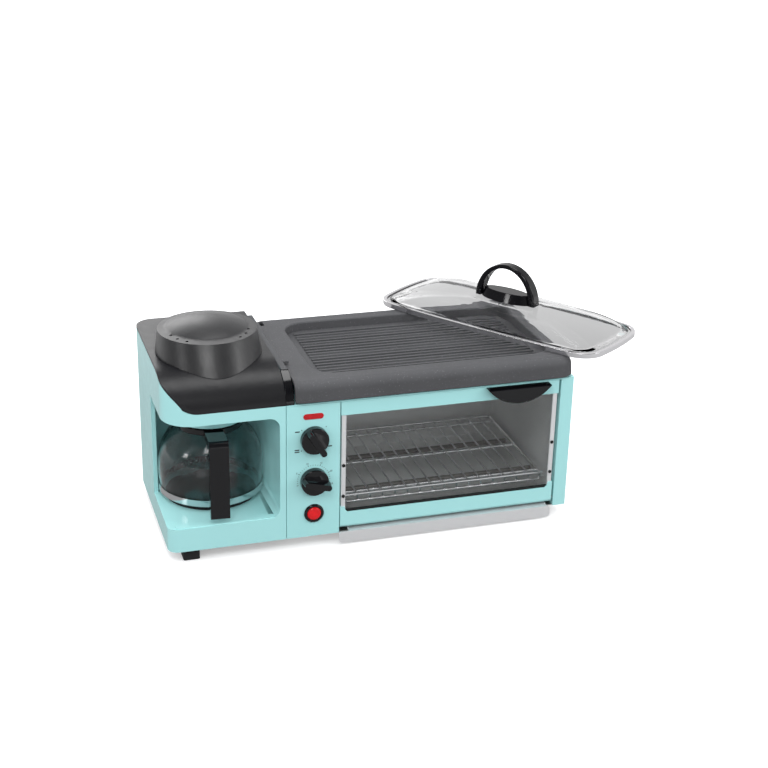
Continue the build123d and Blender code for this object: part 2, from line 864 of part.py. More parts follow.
def make_knob(z, angle):
    """Round knob with a bar grip that points angle degrees clockwise from the top."""
    back = -knob_gap
    face = back - knob_base
    disc = inward(knob_x, z, face, back, knob_radius)
    disc = fillet(disc.edges().group_by(Axis.Y)[0], 1.5)
    length = 2 * knob_radius + grip_overhang
    front = -knob_reach
    foot = Pos(0, grip_overhang / 2) * RectangleRounded(grip_width, length, grip_width / 2 - 0.1)
    top = Pos(0, grip_overhang / 2) * RectangleRounded(grip_top_width, length - 3, grip_top_width / 2 - 0.1)
    grip = loft([Plane.XZ.offset(-face - 1) * foot, Plane.XZ.offset(-front) * top])
    knob = disc + Pos(knob_x, 0, z) * Rot(0, angle, 0) * grip
    return knob - inward(knob_x, z, back - 6, back + 1, shaft_radius)


def make_shaft(z, depth):
    start = -knob_gap - 6
    return inward(knob_x, z, start, sheet + depth * 0.5, shaft_radius)


def make_switch_case(x, z, size, depth):
    y0 = sheet
    bore = shaft_radius + shaft_gap
    case = block(x - size / 2, x + size / 2, y0, y0 + depth, z - size / 2, z + size / 2)
    case = chamfer(case.edges().filter_by(Axis.Y), 3)
    return case - inward(x, z, y0 - 1, y0 + depth * 0.5 + 1, bore)


def make_button():
    y1 = -button_reach + button_length
    cap = inward(button_x, button_z, -button_reach, y1, button_radius)
    return fillet(cap.edges().group_by(Axis.Y)[0], 2.4)


def make_button_bezel():
    inner = button_radius + rest_gap
    ring = inward(button_x, button_z, -bezel_reach, 0, bezel_radius)
    ring = chamfer(ring.edges().group_by(Axis.Y)[0], 1.2)
    ring += inward(button_x, button_z, -0.5, sheet, bezel_radius - bezel_flange)
    return ring - inward(button_x, button_z, -bezel_reach - 1, sheet + 1, inner)


def make_button_switch():
    y0, y1 = sheet, sheet + button_case_depth
    half = button_case / 2
    case = block(button_x - half, button_x + half, y0, y1, button_z - half, button_z + half)
    well = -button_reach + button_length + button_travel + 0.5
    return case - inward(button_x, button_z, y0 - 1, well, button_radius + rest_gap)


def make_oven_case():
    left = panel_left_x
    case = rounded_block(
        left, cabinet_width, 0, cabinet_depth, foot_height, roof_z, back_right=rear_radius, front_right=3
    )
    case -= rounded_block(
        left - 1, cabinet_width - sheet, sheet, cabinet_depth - sheet, foot_height - 1, roof_z - sheet,
        back_right=rear_radius - sheet,
    )
    strip_x = cabinet_width - strip_width
    case -= block(left - 1, strip_x, -1, sheet + 1, foot_height - 1, roof_z - sheet)
    case += block(strip_x, strip_x + sheet, 0, front_return, foot_height, roof_z)
    case -= across(strip_x - 1, strip_x + sheet + 1, door_axis_y, door_axis_z, pin_radius + shaft_gap)
    hole_left = cavity_left_x + roof_hole_margin_x
    hole_right = cavity_right_x - roof_hole_margin_x
    case -= block(hole_left, hole_right, roof_hole_front_y, roof_hole_back_y, roof_z - 5, roof_z + 1)
    back_right = cover_right_x - cover_lap
    case -= block(left - 1, back_right, cabinet_depth - 3, cabinet_depth + 1, opening_low_z, opening_high_z)
    for shank in cover_screw_shanks():
        case -= shank
    return case


def make_cavity_liner():
    x0, x1 = cavity_left_x, cavity_right_x
    y0, y1 = cavity_front_y, cavity_back_y
    z0, z1 = cavity_floor_z, cavity_top_z
    t = liner_sheet
    liner = block(x0 - t, x1 + t, y0, y1 + t, z0 - t, z1 + t) - block(x0, x1, y0 - 1, y1, z0, z1)
    hole_left = x0 + roof_hole_margin_x
    hole_right = x1 - roof_hole_margin_x
    liner -= block(hole_left, hole_right, roof_hole_front_y, roof_hole_back_y, z1 - 1, z1 + t + 1)
    brim_left = panel_right_x - sheet
    brim_right = cabinet_width - strip_width + sheet
    brim = block(brim_left, brim_right, y0, y0 + t, z0 - t, z1 + t)
    liner += brim - block(x0, x1, y0 - 1, y0 + t + 1, z0, z1)
    count = int((x1 - x0 - 2 * slot_pitch) / slot_pitch)
    first = (x0 + x1) / 2 - (count - 1) * slot_pitch / 2
    for row in slot_rows_y:
        for index in range(count):
            x = first + index * slot_pitch
            half = slot_width / 2
            liner -= block(x - half, x + half, row, row + slot_length, z0 - t - 1, z0 + 1)
    for y in heater_rows_y:
        for z in (lower_heater_z, upper_heater_z):
            liner -= across(x0 - t - 1, x1 + t + 1, y, z, heater_radius + 0.5)
    return liner


def make_heaters(z):
    """Two straight tube elements across the cavity at height z."""
    reach = liner_sheet + end_block_length * 0.6
    return [across(cavity_left_x - reach, cavity_right_x + reach, y, z, heater_radius) for y in heater_rows_y]


def make_end_blocks():
    blocks = []
    half = end_block_width / 2
    t = liner_sheet
    for y in heater_rows_y:
        for z in (lower_heater_z, upper_heater_z):
            for side in (-1, 1):
                face = cavity_left_x - t if side < 0 else cavity_right_x + t
                far = face + side * end_block_length
                low, high = min(face, far), max(face, far)
                end = block(low, high, y - half, y + half, z - half, z + half)
                blocks.append(end - across(low - 1, high + 1, y, z, heater_radius + snug_gap))
    return blocks


def make_rack_runners():
    runners = []
    y0 = rack_front_y + 1
    for side in (-1, 1):
        wall_x = cavity_left_x if side < 0 else cavity_right_x
        edge = wall_x - side * runner_width
        low, high = min(wall_x, edge), max(wall_x, edge)
        runners.append(block(low, high, y0, y0 + runner_length, runner_z - runner_height, runner_z))
    return runners


def make_wire_rack():
    x0 = cavity_left_x + rack_side_gap
    x1 = cavity_right_x - rack_side_gap
    y0 = rack_front_y
    y1 = y0 + rack_depth
    w = frame_wire
    rail_z = runner_z + rest_gap + w
    z = rail_z + w + grid_wire - weld
    low_z = z - rack_drop
    rack = rod([(x0, y0, z), (x0, y1, z), (x1, y1, z), (x1, y0, z)], rack_corner, w)
    rack += across(x0 - w, x1 + w, y0, z, w)
    inner = x0 + w / 2
    outer = x1 - w / 2
    front = [(inner, y0, z), (inner, y0, low_z), (outer, y0, low_z), (outer, y0, z)]
    rack += rod(front, rack_bend, grid_wire)
    left = x0 - rail_reach
    right = x1 + rail_reach
    for x in (left, right):
        rack += inward(x, rail_z, y0 + 3, y1 - 3, w)
    for y in (y0 + 12, (y0 + y1) / 2, y1 - 12):
        rack += across(left, right, y, rail_z, w)
    step = (x1 - x0) / (grid_count + 1)
    for index in range(grid_count):
        x = x0 + step * (index + 1)
        rack += inward(x, z, y0, y1, grid_wire)
        rack += upright(x, y0, low_z, z, grid_wire * 0.9)
    return rack


def make_crumb_tray():
    low = plate_top_z + tray_lift
    x0, x1 = tray_left_x, tray_right_x
    back = tray_back_y
    pan = block(x0, x1, lip_front_y + lip_sheet, back, low, low + tray_hem)
    pan -= block(
        x0 + tray_sheet, x1 - tray_sheet, 1.0, back - tray_sheet, low + tray_sheet, low + tray_hem + 1
    )
    face = Pos((lip_left_x + lip_right_x) / 2, (lip_foot_z + lip_top_z) / 2) * RectangleRounded(
        lip_right_x - lip_left_x, lip_top_z - lip_foot_z, lip_corner
    )
    lip = extrude_inward(face, lip_front_y, lip_front_y + lip_sheet)
    pan -= block(x0 - 1, x1 + 1, lip_front_y - 1, 2, lip_top_z, low + tray_hem + 1)
    return pan + lip


def door_slab(x0, x1, z0, z1):
    return block(x0, x1, 0, door_thickness, z0, z1)


def make_door_top_rail():
    t = door_sheet
    low = door_top_z - top_rail_height
    rail = door_slab(door_left_x, door_right_x, low, door_top_z)
    inner_top = door_top_z - t
    rail -= block(door_left_x + t, door_right_x - t, t, door_thickness + 1, low - 1, inner_top)
    rail = fillet(rail.edges().filter_by(Axis.X).group_by(Axis.Z)[-1].sort_by(Axis.Y)[0], 1.0)
    for x in pull_screw_x():
        rail -= inward(x, pull_screw_z(), -1, t + 1, pull_screw_radius)
    return rail


def make_door_bottom_rail():
    t = door_sheet
    x0, x1 = door_left_x, door_right_x
    radius = door_thickness / 2
    rail = door_slab(x0, x1, door_axis_z, bottom_rail_top_z)
    rail += across(x0, x1, door_axis_y, door_axis_z, radius)
    for side in (-1, 1):
        edge = x0 if side < 0 else x1
        inner = edge - side * 2 * inner_corner
        low, high = min(edge, inner), max(edge, inner)
        ear = block(low, high, 0, door_thickness, bottom_rail_top_z - 1, bottom_rail_top_z + inner_corner)
        ear -= inward(inner, bottom_rail_top_z + inner_corner, -1, door_thickness + 1, inner_corner * 1.2)
        rail += ear
    rail -= block(x0 + t, x1 - t, t, door_thickness + 1, door_axis_z + 2, bottom_rail_top_z + 20)
    rail -= across(x0 - 1, x0 + pin_length, door_axis_y, door_axis_z, pin_radius + snug_gap)
    rail -= across(x1 - pin_length, x1 + 1, door_axis_y, door_axis_z, pin_radius + snug_gap)
    return rail


def make_door_side_strips():
    t = door_sheet
    low = bottom_rail_top_z - 8
    high = door_top_z - top_rail_height + 8
    strips = []
    for side in (-1, 1):
        edge = door_left_x + t if side < 0 else door_right_x - t
        inner = edge - side * strip_face
        flange = edge - side * t
        face = block(min(edge, inner), max(edge, inner), t, 2 * t, low, high)
        back = block(min(edge, flange), max(edge, flange), t, door_thickness - 0.5, low, high)
        strip = face + back
        for z in rivet_heights:
            strip -= inward((edge + inner) / 2, z, 0, 3 * t, rivet_radius)
        strips.append(strip)
    return strips


def make_door_glass():
    t = door_sheet
    low = bottom_rail_top_z - glass_bite
    high = door_top_z - top_rail_height + glass_bite
    x0 = door_left_x + 2.5 * t
    x1 = door_right_x - 2.5 * t
    y0 = 2 * t + rivet_head + 0.1
    return block(x0, x1, y0, y0 + glass_sheet, low, high)


def make_door_gasket():
    t = door_sheet
    y1 = 2 * t + rivet_head + 0.1
    x0 = door_left_x + t + strip_face
    x1 = door_right_x - t - strip_face
    low = bottom_rail_top_z - glass_bite
    return block(x0, x1, y1 - gasket_sheet, y1, low, bottom_rail_top_z + gasket_height)


def make_door_rivets():
    t = door_sheet
    rivets = []
    for side in (-1, 1):
        edge = door_left_x + t if side < 0 else door_right_x - t
        x = edge - side * strip_face / 2
        for z in rivet_heights:
            shank = inward(x, z, t, 2 * t, rivet_radius)
            head = inward(x, z, t - rivet_head, t, rivet_radius + 0.6)
            tail = inward(x, z, 2 * t, 2 * t + rivet_head, rivet_tail)
            rivets.append(shank + head + tail)
    return rivets


def make_door_pins():
    x0, x1 = door_left_x, door_right_x
    inside = pin_length - 2
    left = across(panel_right_x - sheet - 1, x0 + inside, door_axis_y, door_axis_z, pin_radius)
    strip_x = cabinet_width - strip_width
    right = across(x1 - inside, strip_x + sheet + 1, door_axis_y, door_axis_z, pin_radius)
    return [left, right]


def pull_face(inset):
    """Half moon with a straight top edge, drawn in by inset."""
    top = door_top_z - 0.6
    x0, x1 = pull_left_x + inset, pull_right_x - inset
    bottom = top - pull_height + inset
    edge = Line((x0, top), (x1, top))
    return make_face([edge, ThreePointArc((x1, top), ((x0 + x1) / 2, bottom), (x0, top))])


def make_door_pull():
    pull = extrude_inward(pull_face(0), -pull_reach, 0)
    pull = fillet(pull.edges().filter_by(GeomType.CIRCLE).group_by(Axis.Y)[0], 2.0)
    cup = extrude_inward(pull_face(pull_wall), -pull_reach + pull_wall, -pull_plate)
    cup += Pos(0, 0, 1) * cup
    pull -= cup
    for x in pull_screw_x():
        pull -= inward(x, pull_screw_z(), -pull_plate - 0.5, 1, pull_screw_radius)
    return pull


def pull_screw_x():
    """The two screw places along the door pull."""
    middle = (pull_left_x + pull_right_x) / 2
    return (middle - pull_screw_span / 2, middle + pull_screw_span / 2)


def pull_screw_z():
    """Height of the door pull's screws, in the top rail."""
    return door_top_z - top_rail_height / 2 + 2


def make_pull_screws():
    screws = []
    t = door_sheet
    for x in pull_screw_x():
        z = pull_screw_z()
        shank = inward(x, z, -pull_plate, t, pull_screw_radius)
        head = inward(x, z, t, t + 1.8, pull_screw_radius * 1.8)
        screws.append(shank + head)
    return screws


def griddle_form(inset, low_z, high_z):
    """Tapered plate form, drawn in by inset, between two heights."""
    width = griddle_right_x - griddle_left_x - 2 * inset
    depth = griddle_back_y - griddle_front_y - 2 * inset
    middle = ((griddle_left_x + griddle_right_x) / 2, (griddle_front_y + griddle_back_y) / 2, low_z)
    plan = Plane(middle) * RectangleRounded(width, depth, griddle_corner - inset)
    return extrude(plan, amount=high_z - low_z, taper=griddle_taper)


def pan_form(grow, low_z, high_z):
    """Rounded box over the cooking recess, grown sideways by grow."""
    width = pan_right_x - pan_left_x + 2 * grow
    depth = pan_back_y - pan_front_y + 2 * grow
    middle = ((pan_left_x + pan_right_x) / 2, (pan_front_y + pan_back_y) / 2, low_z)
    plan = Plane(middle) * RectangleRounded(width, depth, pan_corner + grow)
    return extrude(plan, amount=high_z - low_z)


def make_griddle():
    plate_form = griddle_form(0, griddle_skirt_z, griddle_rim_z)
    plate_form = fillet(plate_form.edges().group_by(Axis.Z)[-1], griddle_round)
    under = griddle_form(griddle_wall, griddle_skirt_z - 1, griddle_rim_z - griddle_wall)
    under = fillet(under.edges().group_by(Axis.Z)[-1], griddle_round - griddle_wall)
    under -= pan_form(griddle_wall, pan_floor_z - pan_floor, griddle_rim_z)
    griddle = plate_form - under
    griddle -= pan_form(0, pan_floor_z, griddle_rim_z + 1)
    brim = griddle.edges().group_by(Axis.Z)[-1]
    pan_brim = [
        edge for edge in brim
        if edge.center().X > pan_left_x - 1 and pan_front_y - 1 < edge.center().Y < pan_back_y + 1
    ]
    griddle = fillet(pan_brim, 2.0)
    first = pan_front_y + ridge_margin
    count = int((pan_back_y - pan_front_y - 2 * ridge_margin) / ridge_pitch) + 1
    for index in range(count):
        y = first + index * ridge_pitch
        ridge = block(
            pan_left_x + ridge_margin, pan_right_x - ridge_margin, y, y + ridge_width,
            pan_floor_z - 0.5, pan_floor_z + ridge_height,
        )
        griddle += ridge
    peg_z = pan_floor_z - pan_floor + 1
    for x in (pan_left_x + peg_inset_x, pan_right_x - peg_inset_x):
        for y in (pan_front_y + peg_inset_y, pan_back_y - peg_inset_y):
            griddle += upright(x, y, roof_z + rest_gap, peg_z, peg_radius)
    griddle -= block(
        griddle_left_x - 5, rib_right_x + trim_right_gap, griddle_front_y - 5, rib_front_y,
        griddle_skirt_z - 5, griddle_rim_z + 5,
    )
    rib = block(griddle_left_x, rib_right_x, rib_front_y, griddle_back_y - 3, griddle_rim_z - 8, rib_top_z)
    rib = fillet(rib.edges().filter_by(Axis.Y).group_by(Axis.Z)[-1], 1.5)
    tab = block(
        rib_right_x - 1, rib_right_x + tab_reach, tab_front_y, tab_front_y + tab_length,
        rib_top_z - 4, rib_top_z - 1,
    )
    griddle += rib + tab
    hole = Plane((margin_hole_x, margin_hole_y, griddle_rim_z - 10)) * SlotOverall(
        margin_hole_length, margin_hole_width, rotation=90
    )
    return griddle - extrude(hole, amount=20)


def make_front_trim():
    x0 = coffee_width + trim_gap
    x1 = rib_right_x
    trim = side_form(x0, x1, 0, roof_z - 1)
    return trim & block(x0 - 1, x1 + 1, -1, rib_front_y - trim_gap, roof_z, deck_z)


def lid_outline(inset):
    """Bowed rectangle with round corners, drawn in by inset."""
    a = glass_lid_length / 2 - inset
    b = glass_lid_width / 2 - inset
    corner_a = a - short_bow
    corner_b = b - long_bow
    points = ((corner_a, -corner_b), (corner_a, corner_b), (-corner_a, corner_b), (-corner_a, -corner_b))
    bows = ((a, 0), (0, b), (-a, 0), (0, -b))
    sides = [ThreePointArc(points[k], bows[k], points[(k + 1) % 4]) for k in range(4)]
    face = make_face(sides)
    return fillet(face.vertices(), lid_corner - inset)


def on_lid(solid):
    """Turns a piece drawn about the lid's own centre to where the lid lies."""
    return Pos(glass_lid_x, glass_lid_y, glass_lid_z) * Rot(0, 0, glass_lid_turn) * solid


def glass_dome(drop, inset):
    """Low dome of the lid, its skin lowered by drop and drawn in by inset."""
    foot_z = lid_edge_lift + lid_glass - drop
    sections = []
    for share, rise in dome_steps:
        outline = scale(lid_outline(inset), by=(share, share, 1))
        sections.append(Plane((0, 0, foot_z + lid_dome * rise)) * outline)
    return loft(sections)


def make_lid_glass():
    z0, z1 = lid_edge_lift, lid_edge_lift + lid_glass
    edge = extrude(Plane((0, 0, z0)) * lid_outline(rim_proud), amount=lid_glass)
    outside = rim_width + 2
    inside = outside + lid_glass * 0.4
    dome = glass_dome(0, outside) - glass_dome(lid_glass, inside)
    hollow = extrude(Plane((0, 0, z0 - 1)) * lid_outline(inside), amount=lid_glass + 1)
    glass = (edge - hollow) + dome
    glass -= upright(0, 0, 0, 40, lid_screw_radius)
    return glass


def glass_top():
    """Height of the dome's top above the lid's underside."""
    return lid_edge_lift + lid_glass + lid_dome


def make_lid_rim():
    ring = extrude(Plane.XY * lid_outline(0), amount=rim_height)
    ring -= extrude(Plane((0, 0, -1)) * lid_outline(rim_width), amount=rim_height + 2)
    slot = extrude(Plane((0, 0, lid_edge_lift)) * lid_outline(rim_proud), amount=lid_glass)
    return ring - slot


def handle_base_form():
    """Oval foot between the legs of the lid's handle."""
    low = glass_top()
    foot = Plane((0, 0, low)) * Ellipse(base_length / 2, base_width / 2)
    top = Plane((0, 0, low + base_height)) * Ellipse(
        base_length / 2 - base_taper_x, base_width / 2 - base_taper_y
    )
    return loft([foot, top])


def make_lid_handle_base():
    low = glass_top()
    return handle_base_form() - upright(0, 0, low - 1, low + base_height - 2, lid_screw_radius)


def make_lid_handle():
    low = glass_top()
    half = loop_width / 2
    depth = loop_depth

    def arch(side, top):
        curve = EllipticalCenterArc((0, 0), half - side, loop_height - top, 0, arc_size=180)
        return make_face([curve, Line(curve @ 1, curve @ 0)])

    loop = extrude(Plane.XZ.offset(-depth / 2) * arch(0, 0), amount=depth)
    loop -= extrude(Plane.XZ.offset(-depth / 2 - 1) * arch(loop_side, loop_top), amount=depth + 2)
    loop = fillet(loop.edges().filter_by(GeomType.ELLIPSE), loop_round)
    return Pos(0, 0, low + rest_gap) * loop - handle_base_form()


def make_lid_screw():
    low = lid_edge_lift + lid_dome
    screw = upright(0, 0, low, glass_top() + base_height - 2, lid_screw_radius)
    return screw + upright(0, 0, low - lid_screw_head_height, low, lid_screw_head)


def foot_places():
    """Lower left corners of the four feet."""
    rear = cabinet_depth - foot_rear_inset - foot_length
    return [(x, y) for x in (foot_left_x, foot_right_x) for y in (foot_front_y, rear)]


def foot_screw(x, y, gap):
    """Screw that goes up through a foot into the base plate over it, grown by gap all round."""
    middle_x, middle_y = x + foot_width / 2, y + foot_length / 2
    shank = upright(middle_x, middle_y, foot_screw_recess, plate_top_z, screw_radius + gap)
    low_z = foot_screw_recess - screw_head_height
    return shank + upright(middle_x, middle_y, low_z, foot_screw_recess, screw_head_radius + gap)


def make_foot_screws():
    return [foot_screw(x, y, 0) for x, y in foot_places()]


def make_feet():
    feet = []
    for x, y in foot_places():
        foot = block(x, x + foot_width, y, y + foot_length, 0, foot_height)
        foot = chamfer(foot.edges().group_by(Axis.Z)[0], 1.5)
        middle_x, middle_y = x + foot_width / 2, y + foot_length / 2
        foot -= upright(middle_x, middle_y, -1, foot_screw_recess, screw_head_radius + rest_gap)
        feet.append(foot - foot_screw(x, y, snug_gap))
    return feet


def make_coffee_base_plate():
    plate_solid = rounded_block(
        wall + rest_gap, coffee_width - bay_wall - rest_gap, wall + rest_gap, cabinet_depth - wall - rest_gap,
        foot_height, plate_top_z, back_left=rear_radius - wall,
    )
    for x, y in foot_places():
        plate_solid -= foot_screw(x, y, snug_gap)
    return plate_solid


def make_oven_base_plate():
    plate_solid = rounded_block(
        panel_left_x + rest_gap, cabinet_width - sheet - rest_gap, front_return + rest_gap,
        cabinet_depth - sheet - rest_gap, foot_height, plate_top_z, back_right=rear_radius - sheet,
    )
    plate_solid += block(
        panel_right_x + rest_gap, cabinet_width - strip_width - rest_gap, sheet, front_return + 1,
        foot_height, plate_top_z,
    )
    for x, y in foot_places():
        plate_solid -= foot_screw(x, y, snug_gap)
    return plate_solid


def cover_screw_places():
    """Places in X and Z of the screws round the back cover."""
    heights = (cover_low_z + cover_lap / 2, cover_high_z - cover_lap / 2)
    half = cover_lap / 2
    middles = (cover_screw_inset, cabinet_width - cover_screw_inset)
    columns = (cover_left_x + half, *middles, cover_right_x - half)
    return [(x, z) for x in columns for z in heights]


def cover_screw_shanks():
    """Round bars where the back cover's screws go through the cover and the walls behind it."""
    return [inward(x, z, screw_tip_y, cover_back_y, screw_radius) for x, z in cover_screw_places()]


def make_back_cover():
    y0, y1 = cabinet_depth, cover_back_y
    cover = block(cover_left_x, cover_right_x, y0, y1, cover_low_z, cover_high_z)
    for column in louvre_columns:
        for index in range(louvre_count):
            z = louvre_z + index * louvre_pitch
            cover -= block(column, column + louvre_width, y0 - 1, y1 + 1, z, z + louvre_height)
    cover -= inward(inlet_x, inlet_z, y0 - 1, y1 + 1, inlet_radius)
    for shank in cover_screw_shanks():
        cover -= shank
    return cover


def make_cover_screws():
    screws = []
    for place, shank in zip(cover_screw_places(), cover_screw_shanks()):
        head = inward(*place, cover_back_y, cover_back_y + screw_head_height, screw_head_radius)
        screws.append(shank + chamfer(head.edges().group_by(Axis.Y)[-1], screw_head_height / 2))
    return screws


def make_cord_inlet():
    y0, y1 = cabinet_depth - inlet_inside, cover_back_y + inlet_reach
    inlet = inward(inlet_x, inlet_z, y0, y1, inlet_radius)
    inlet = chamfer(inlet.edges().group_by(Axis.Y)[-1], 2.0)
    inlet += inward(inlet_x, inlet_z, cover_back_y, cover_back_y + inlet_flange_thick, inlet_flange)
    return inlet - inward(inlet_x, inlet_z, y0 - 1, y1 + 1, inlet_bore)


pieces = {
    "coffee_housing": make_coffee_housing(),
    "top_deck": make_top_deck(),
    "drum_lid": make_drum_lid(),
    "drum_lid_pin": make_lid_pin(),
    "filter_basket": make_filter_basket(),
    "drip_valve": make_drip_valve(),
    "valve_spring": make_valve_spring(),
    "water_tank": make_water_tank(),
    "boiler_tube": make_boiler_tube(),
    "water_hoses": make_water_hoses(),
    "spray_tube": make_spray_tube(),
    "warming_plate": make_warming_plate(),
    "carafe_glass": make_carafe_glass(),
    "carafe_band": make_carafe_band(),
    "carafe_handle": make_carafe_handle(),
    "carafe_lid": make_carafe_lid(),
    "control_panel": make_control_panel(),
    "lamp_window": make_lamp_window(),
    "lamp_body": make_lamp_body(),
    "function_knob": make_knob(function_z, function_angle),
    "function_shaft": make_shaft(function_z, switch_depth),
    "function_switch": make_switch_case(knob_x, function_z, switch_width, switch_depth),
    "timer_knob": make_knob(timer_z, timer_angle),
    "timer_shaft": make_shaft(timer_z, timer_case_depth),
    "timer_body": make_switch_case(knob_x, timer_z, timer_case_width, timer_case_depth),
    "power_button": make_button(),
    "button_bezel": make_button_bezel(),
    "button_switch": make_button_switch(),
    "oven_case": make_oven_case(),
    "cavity_liner": make_cavity_liner(),
    "upper_heaters": make_heaters(upper_heater_z),
    "lower_heaters": make_heaters(lower_heater_z),
    "heater_end_blocks": make_end_blocks(),
    "rack_runners": make_rack_runners(),
    "wire_rack": make_wire_rack(),
    "crumb_tray": make_crumb_tray(),
    "door_top_rail": make_door_top_rail(),
    "door_bottom_rail": make_door_bottom_rail(),
    "door_side_strips": make_door_side_strips(),
    "door_glass": make_door_glass(),
    "door_gasket": make_door_gasket(),
    "door_rivets": make_door_rivets(),
    "door_hinge_pins": make_door_pins(),
    "door_pull": make_door_pull(),
    "door_pull_screws": make_pull_screws(),
    "griddle": make_griddle(),
    "front_trim": make_front_trim(),
    "lid_glass": on_lid(make_lid_glass()),
    "lid_rim": on_lid(make_lid_rim()),
    "lid_handle_base": on_lid(make_lid_handle_base()),
    "lid_handle": on_lid(make_lid_handle()),
    "lid_handle_screw": on_lid(make_lid_screw()),
    "feet": make_feet(),
    "foot_screws": make_foot_screws(),
    "coffee_base_plate": make_coffee_base_plate(),
    "oven_base_plate": make_oven_base_plate(),
    "back_cover": make_back_cover(),
    "back_cover_screws": make_cover_screws(),
    "cord_inlet": make_cord_inlet(),
}


def as_node(piece):
    """One shape for a node: a list of separate solids becomes a group."""
    return Compound(children=piece) if isinstance(piece, list) else piece


nodes = {name: as_node(piece) for name, piece in pieces.items()}
boxes = [node.bounding_box() for node in nodes.values()]
low_x = min(box.min.X for box in boxes)
high_x = max(box.max.X for box in boxes)
low_y = min(box.min.Y for box in boxes)
high_y = max(box.max.Y for box in boxes)
low_z = min(box.min.Z for box in boxes)
origin = Vector((low_x + high_x) / 2, (low_y + high_y) / 2, low_z)

os.makedirs("parts", exist_ok=True)
for name, node in nodes.items():
    export_step(Location(-origin) * node, f"parts/{name}.step")
print("origin", origin)
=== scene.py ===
"""Looks of a breakfast station: drip coffee maker, toaster oven and griddle in one cabinet.

Every length in the sub-assemblies is in millimetres, measured from the cabinet's left side, its
front face and the table. Workshop.at turns such a place into the frame's metres. The finishes and
the studio are in metres, apart from the camera's place.
"""

import json
import logging
import math
from dataclasses import dataclass, field
from enum import Enum
from typing import Iterable

import bmesh
import bpy
from mathutils import Matrix, Vector

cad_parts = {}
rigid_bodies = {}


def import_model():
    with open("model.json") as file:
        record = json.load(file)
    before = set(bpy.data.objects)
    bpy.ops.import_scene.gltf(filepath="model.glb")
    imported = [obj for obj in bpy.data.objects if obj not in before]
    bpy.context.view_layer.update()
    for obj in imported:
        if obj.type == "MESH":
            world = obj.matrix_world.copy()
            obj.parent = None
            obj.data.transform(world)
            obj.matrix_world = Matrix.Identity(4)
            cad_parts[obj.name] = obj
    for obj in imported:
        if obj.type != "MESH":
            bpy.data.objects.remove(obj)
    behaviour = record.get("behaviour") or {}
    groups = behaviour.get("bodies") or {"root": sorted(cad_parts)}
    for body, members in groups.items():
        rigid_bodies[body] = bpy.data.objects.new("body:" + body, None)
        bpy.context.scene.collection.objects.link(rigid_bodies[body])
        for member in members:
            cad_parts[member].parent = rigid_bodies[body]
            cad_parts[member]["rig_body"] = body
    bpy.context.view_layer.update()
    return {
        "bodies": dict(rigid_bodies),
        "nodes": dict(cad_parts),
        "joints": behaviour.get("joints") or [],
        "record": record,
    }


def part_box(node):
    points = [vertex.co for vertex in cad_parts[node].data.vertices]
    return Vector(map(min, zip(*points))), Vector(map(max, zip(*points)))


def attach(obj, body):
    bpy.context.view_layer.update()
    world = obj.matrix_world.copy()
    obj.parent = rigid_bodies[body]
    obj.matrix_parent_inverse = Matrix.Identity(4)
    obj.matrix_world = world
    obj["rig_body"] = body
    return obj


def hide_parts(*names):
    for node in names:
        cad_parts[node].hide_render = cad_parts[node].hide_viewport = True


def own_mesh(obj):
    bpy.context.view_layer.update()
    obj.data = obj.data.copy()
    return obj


log = logging.getLogger("breakfast_station")

Colour = tuple[float, float, float]
Triple = tuple[float, float, float]
MILLI = 0.001

# Millimetres from the table to the underside of the coffee maker's housing
FEET_HEIGHT = 15.0

# Cleaning, rounding and shading of a node's mesh: the distance in metres, the angles in degrees
WELD_DISTANCE = 2e-6
SAME_PLANE_ANGLE = 0.6
ROUNDED_EDGE_ANGLE = 32.0
SMOOTH_SHADE_ANGLE = 40.0
FLAT_FACE_WEIGHT = 60


class Pattern(Enum):
    """What is scattered over the tone of a finish."""

    PLAIN = "plain"
    SPECKLED = "speckled"


class Rounding(Enum):
    """How many faces lie across a rounded edge."""

    COARSE = 2
    FINE = 3
    LARGE = 4


class Axis(Enum):
    """Axes of the frame, in the order of a vector's parts."""

    X = 0
    Y = 1
    Z = 2


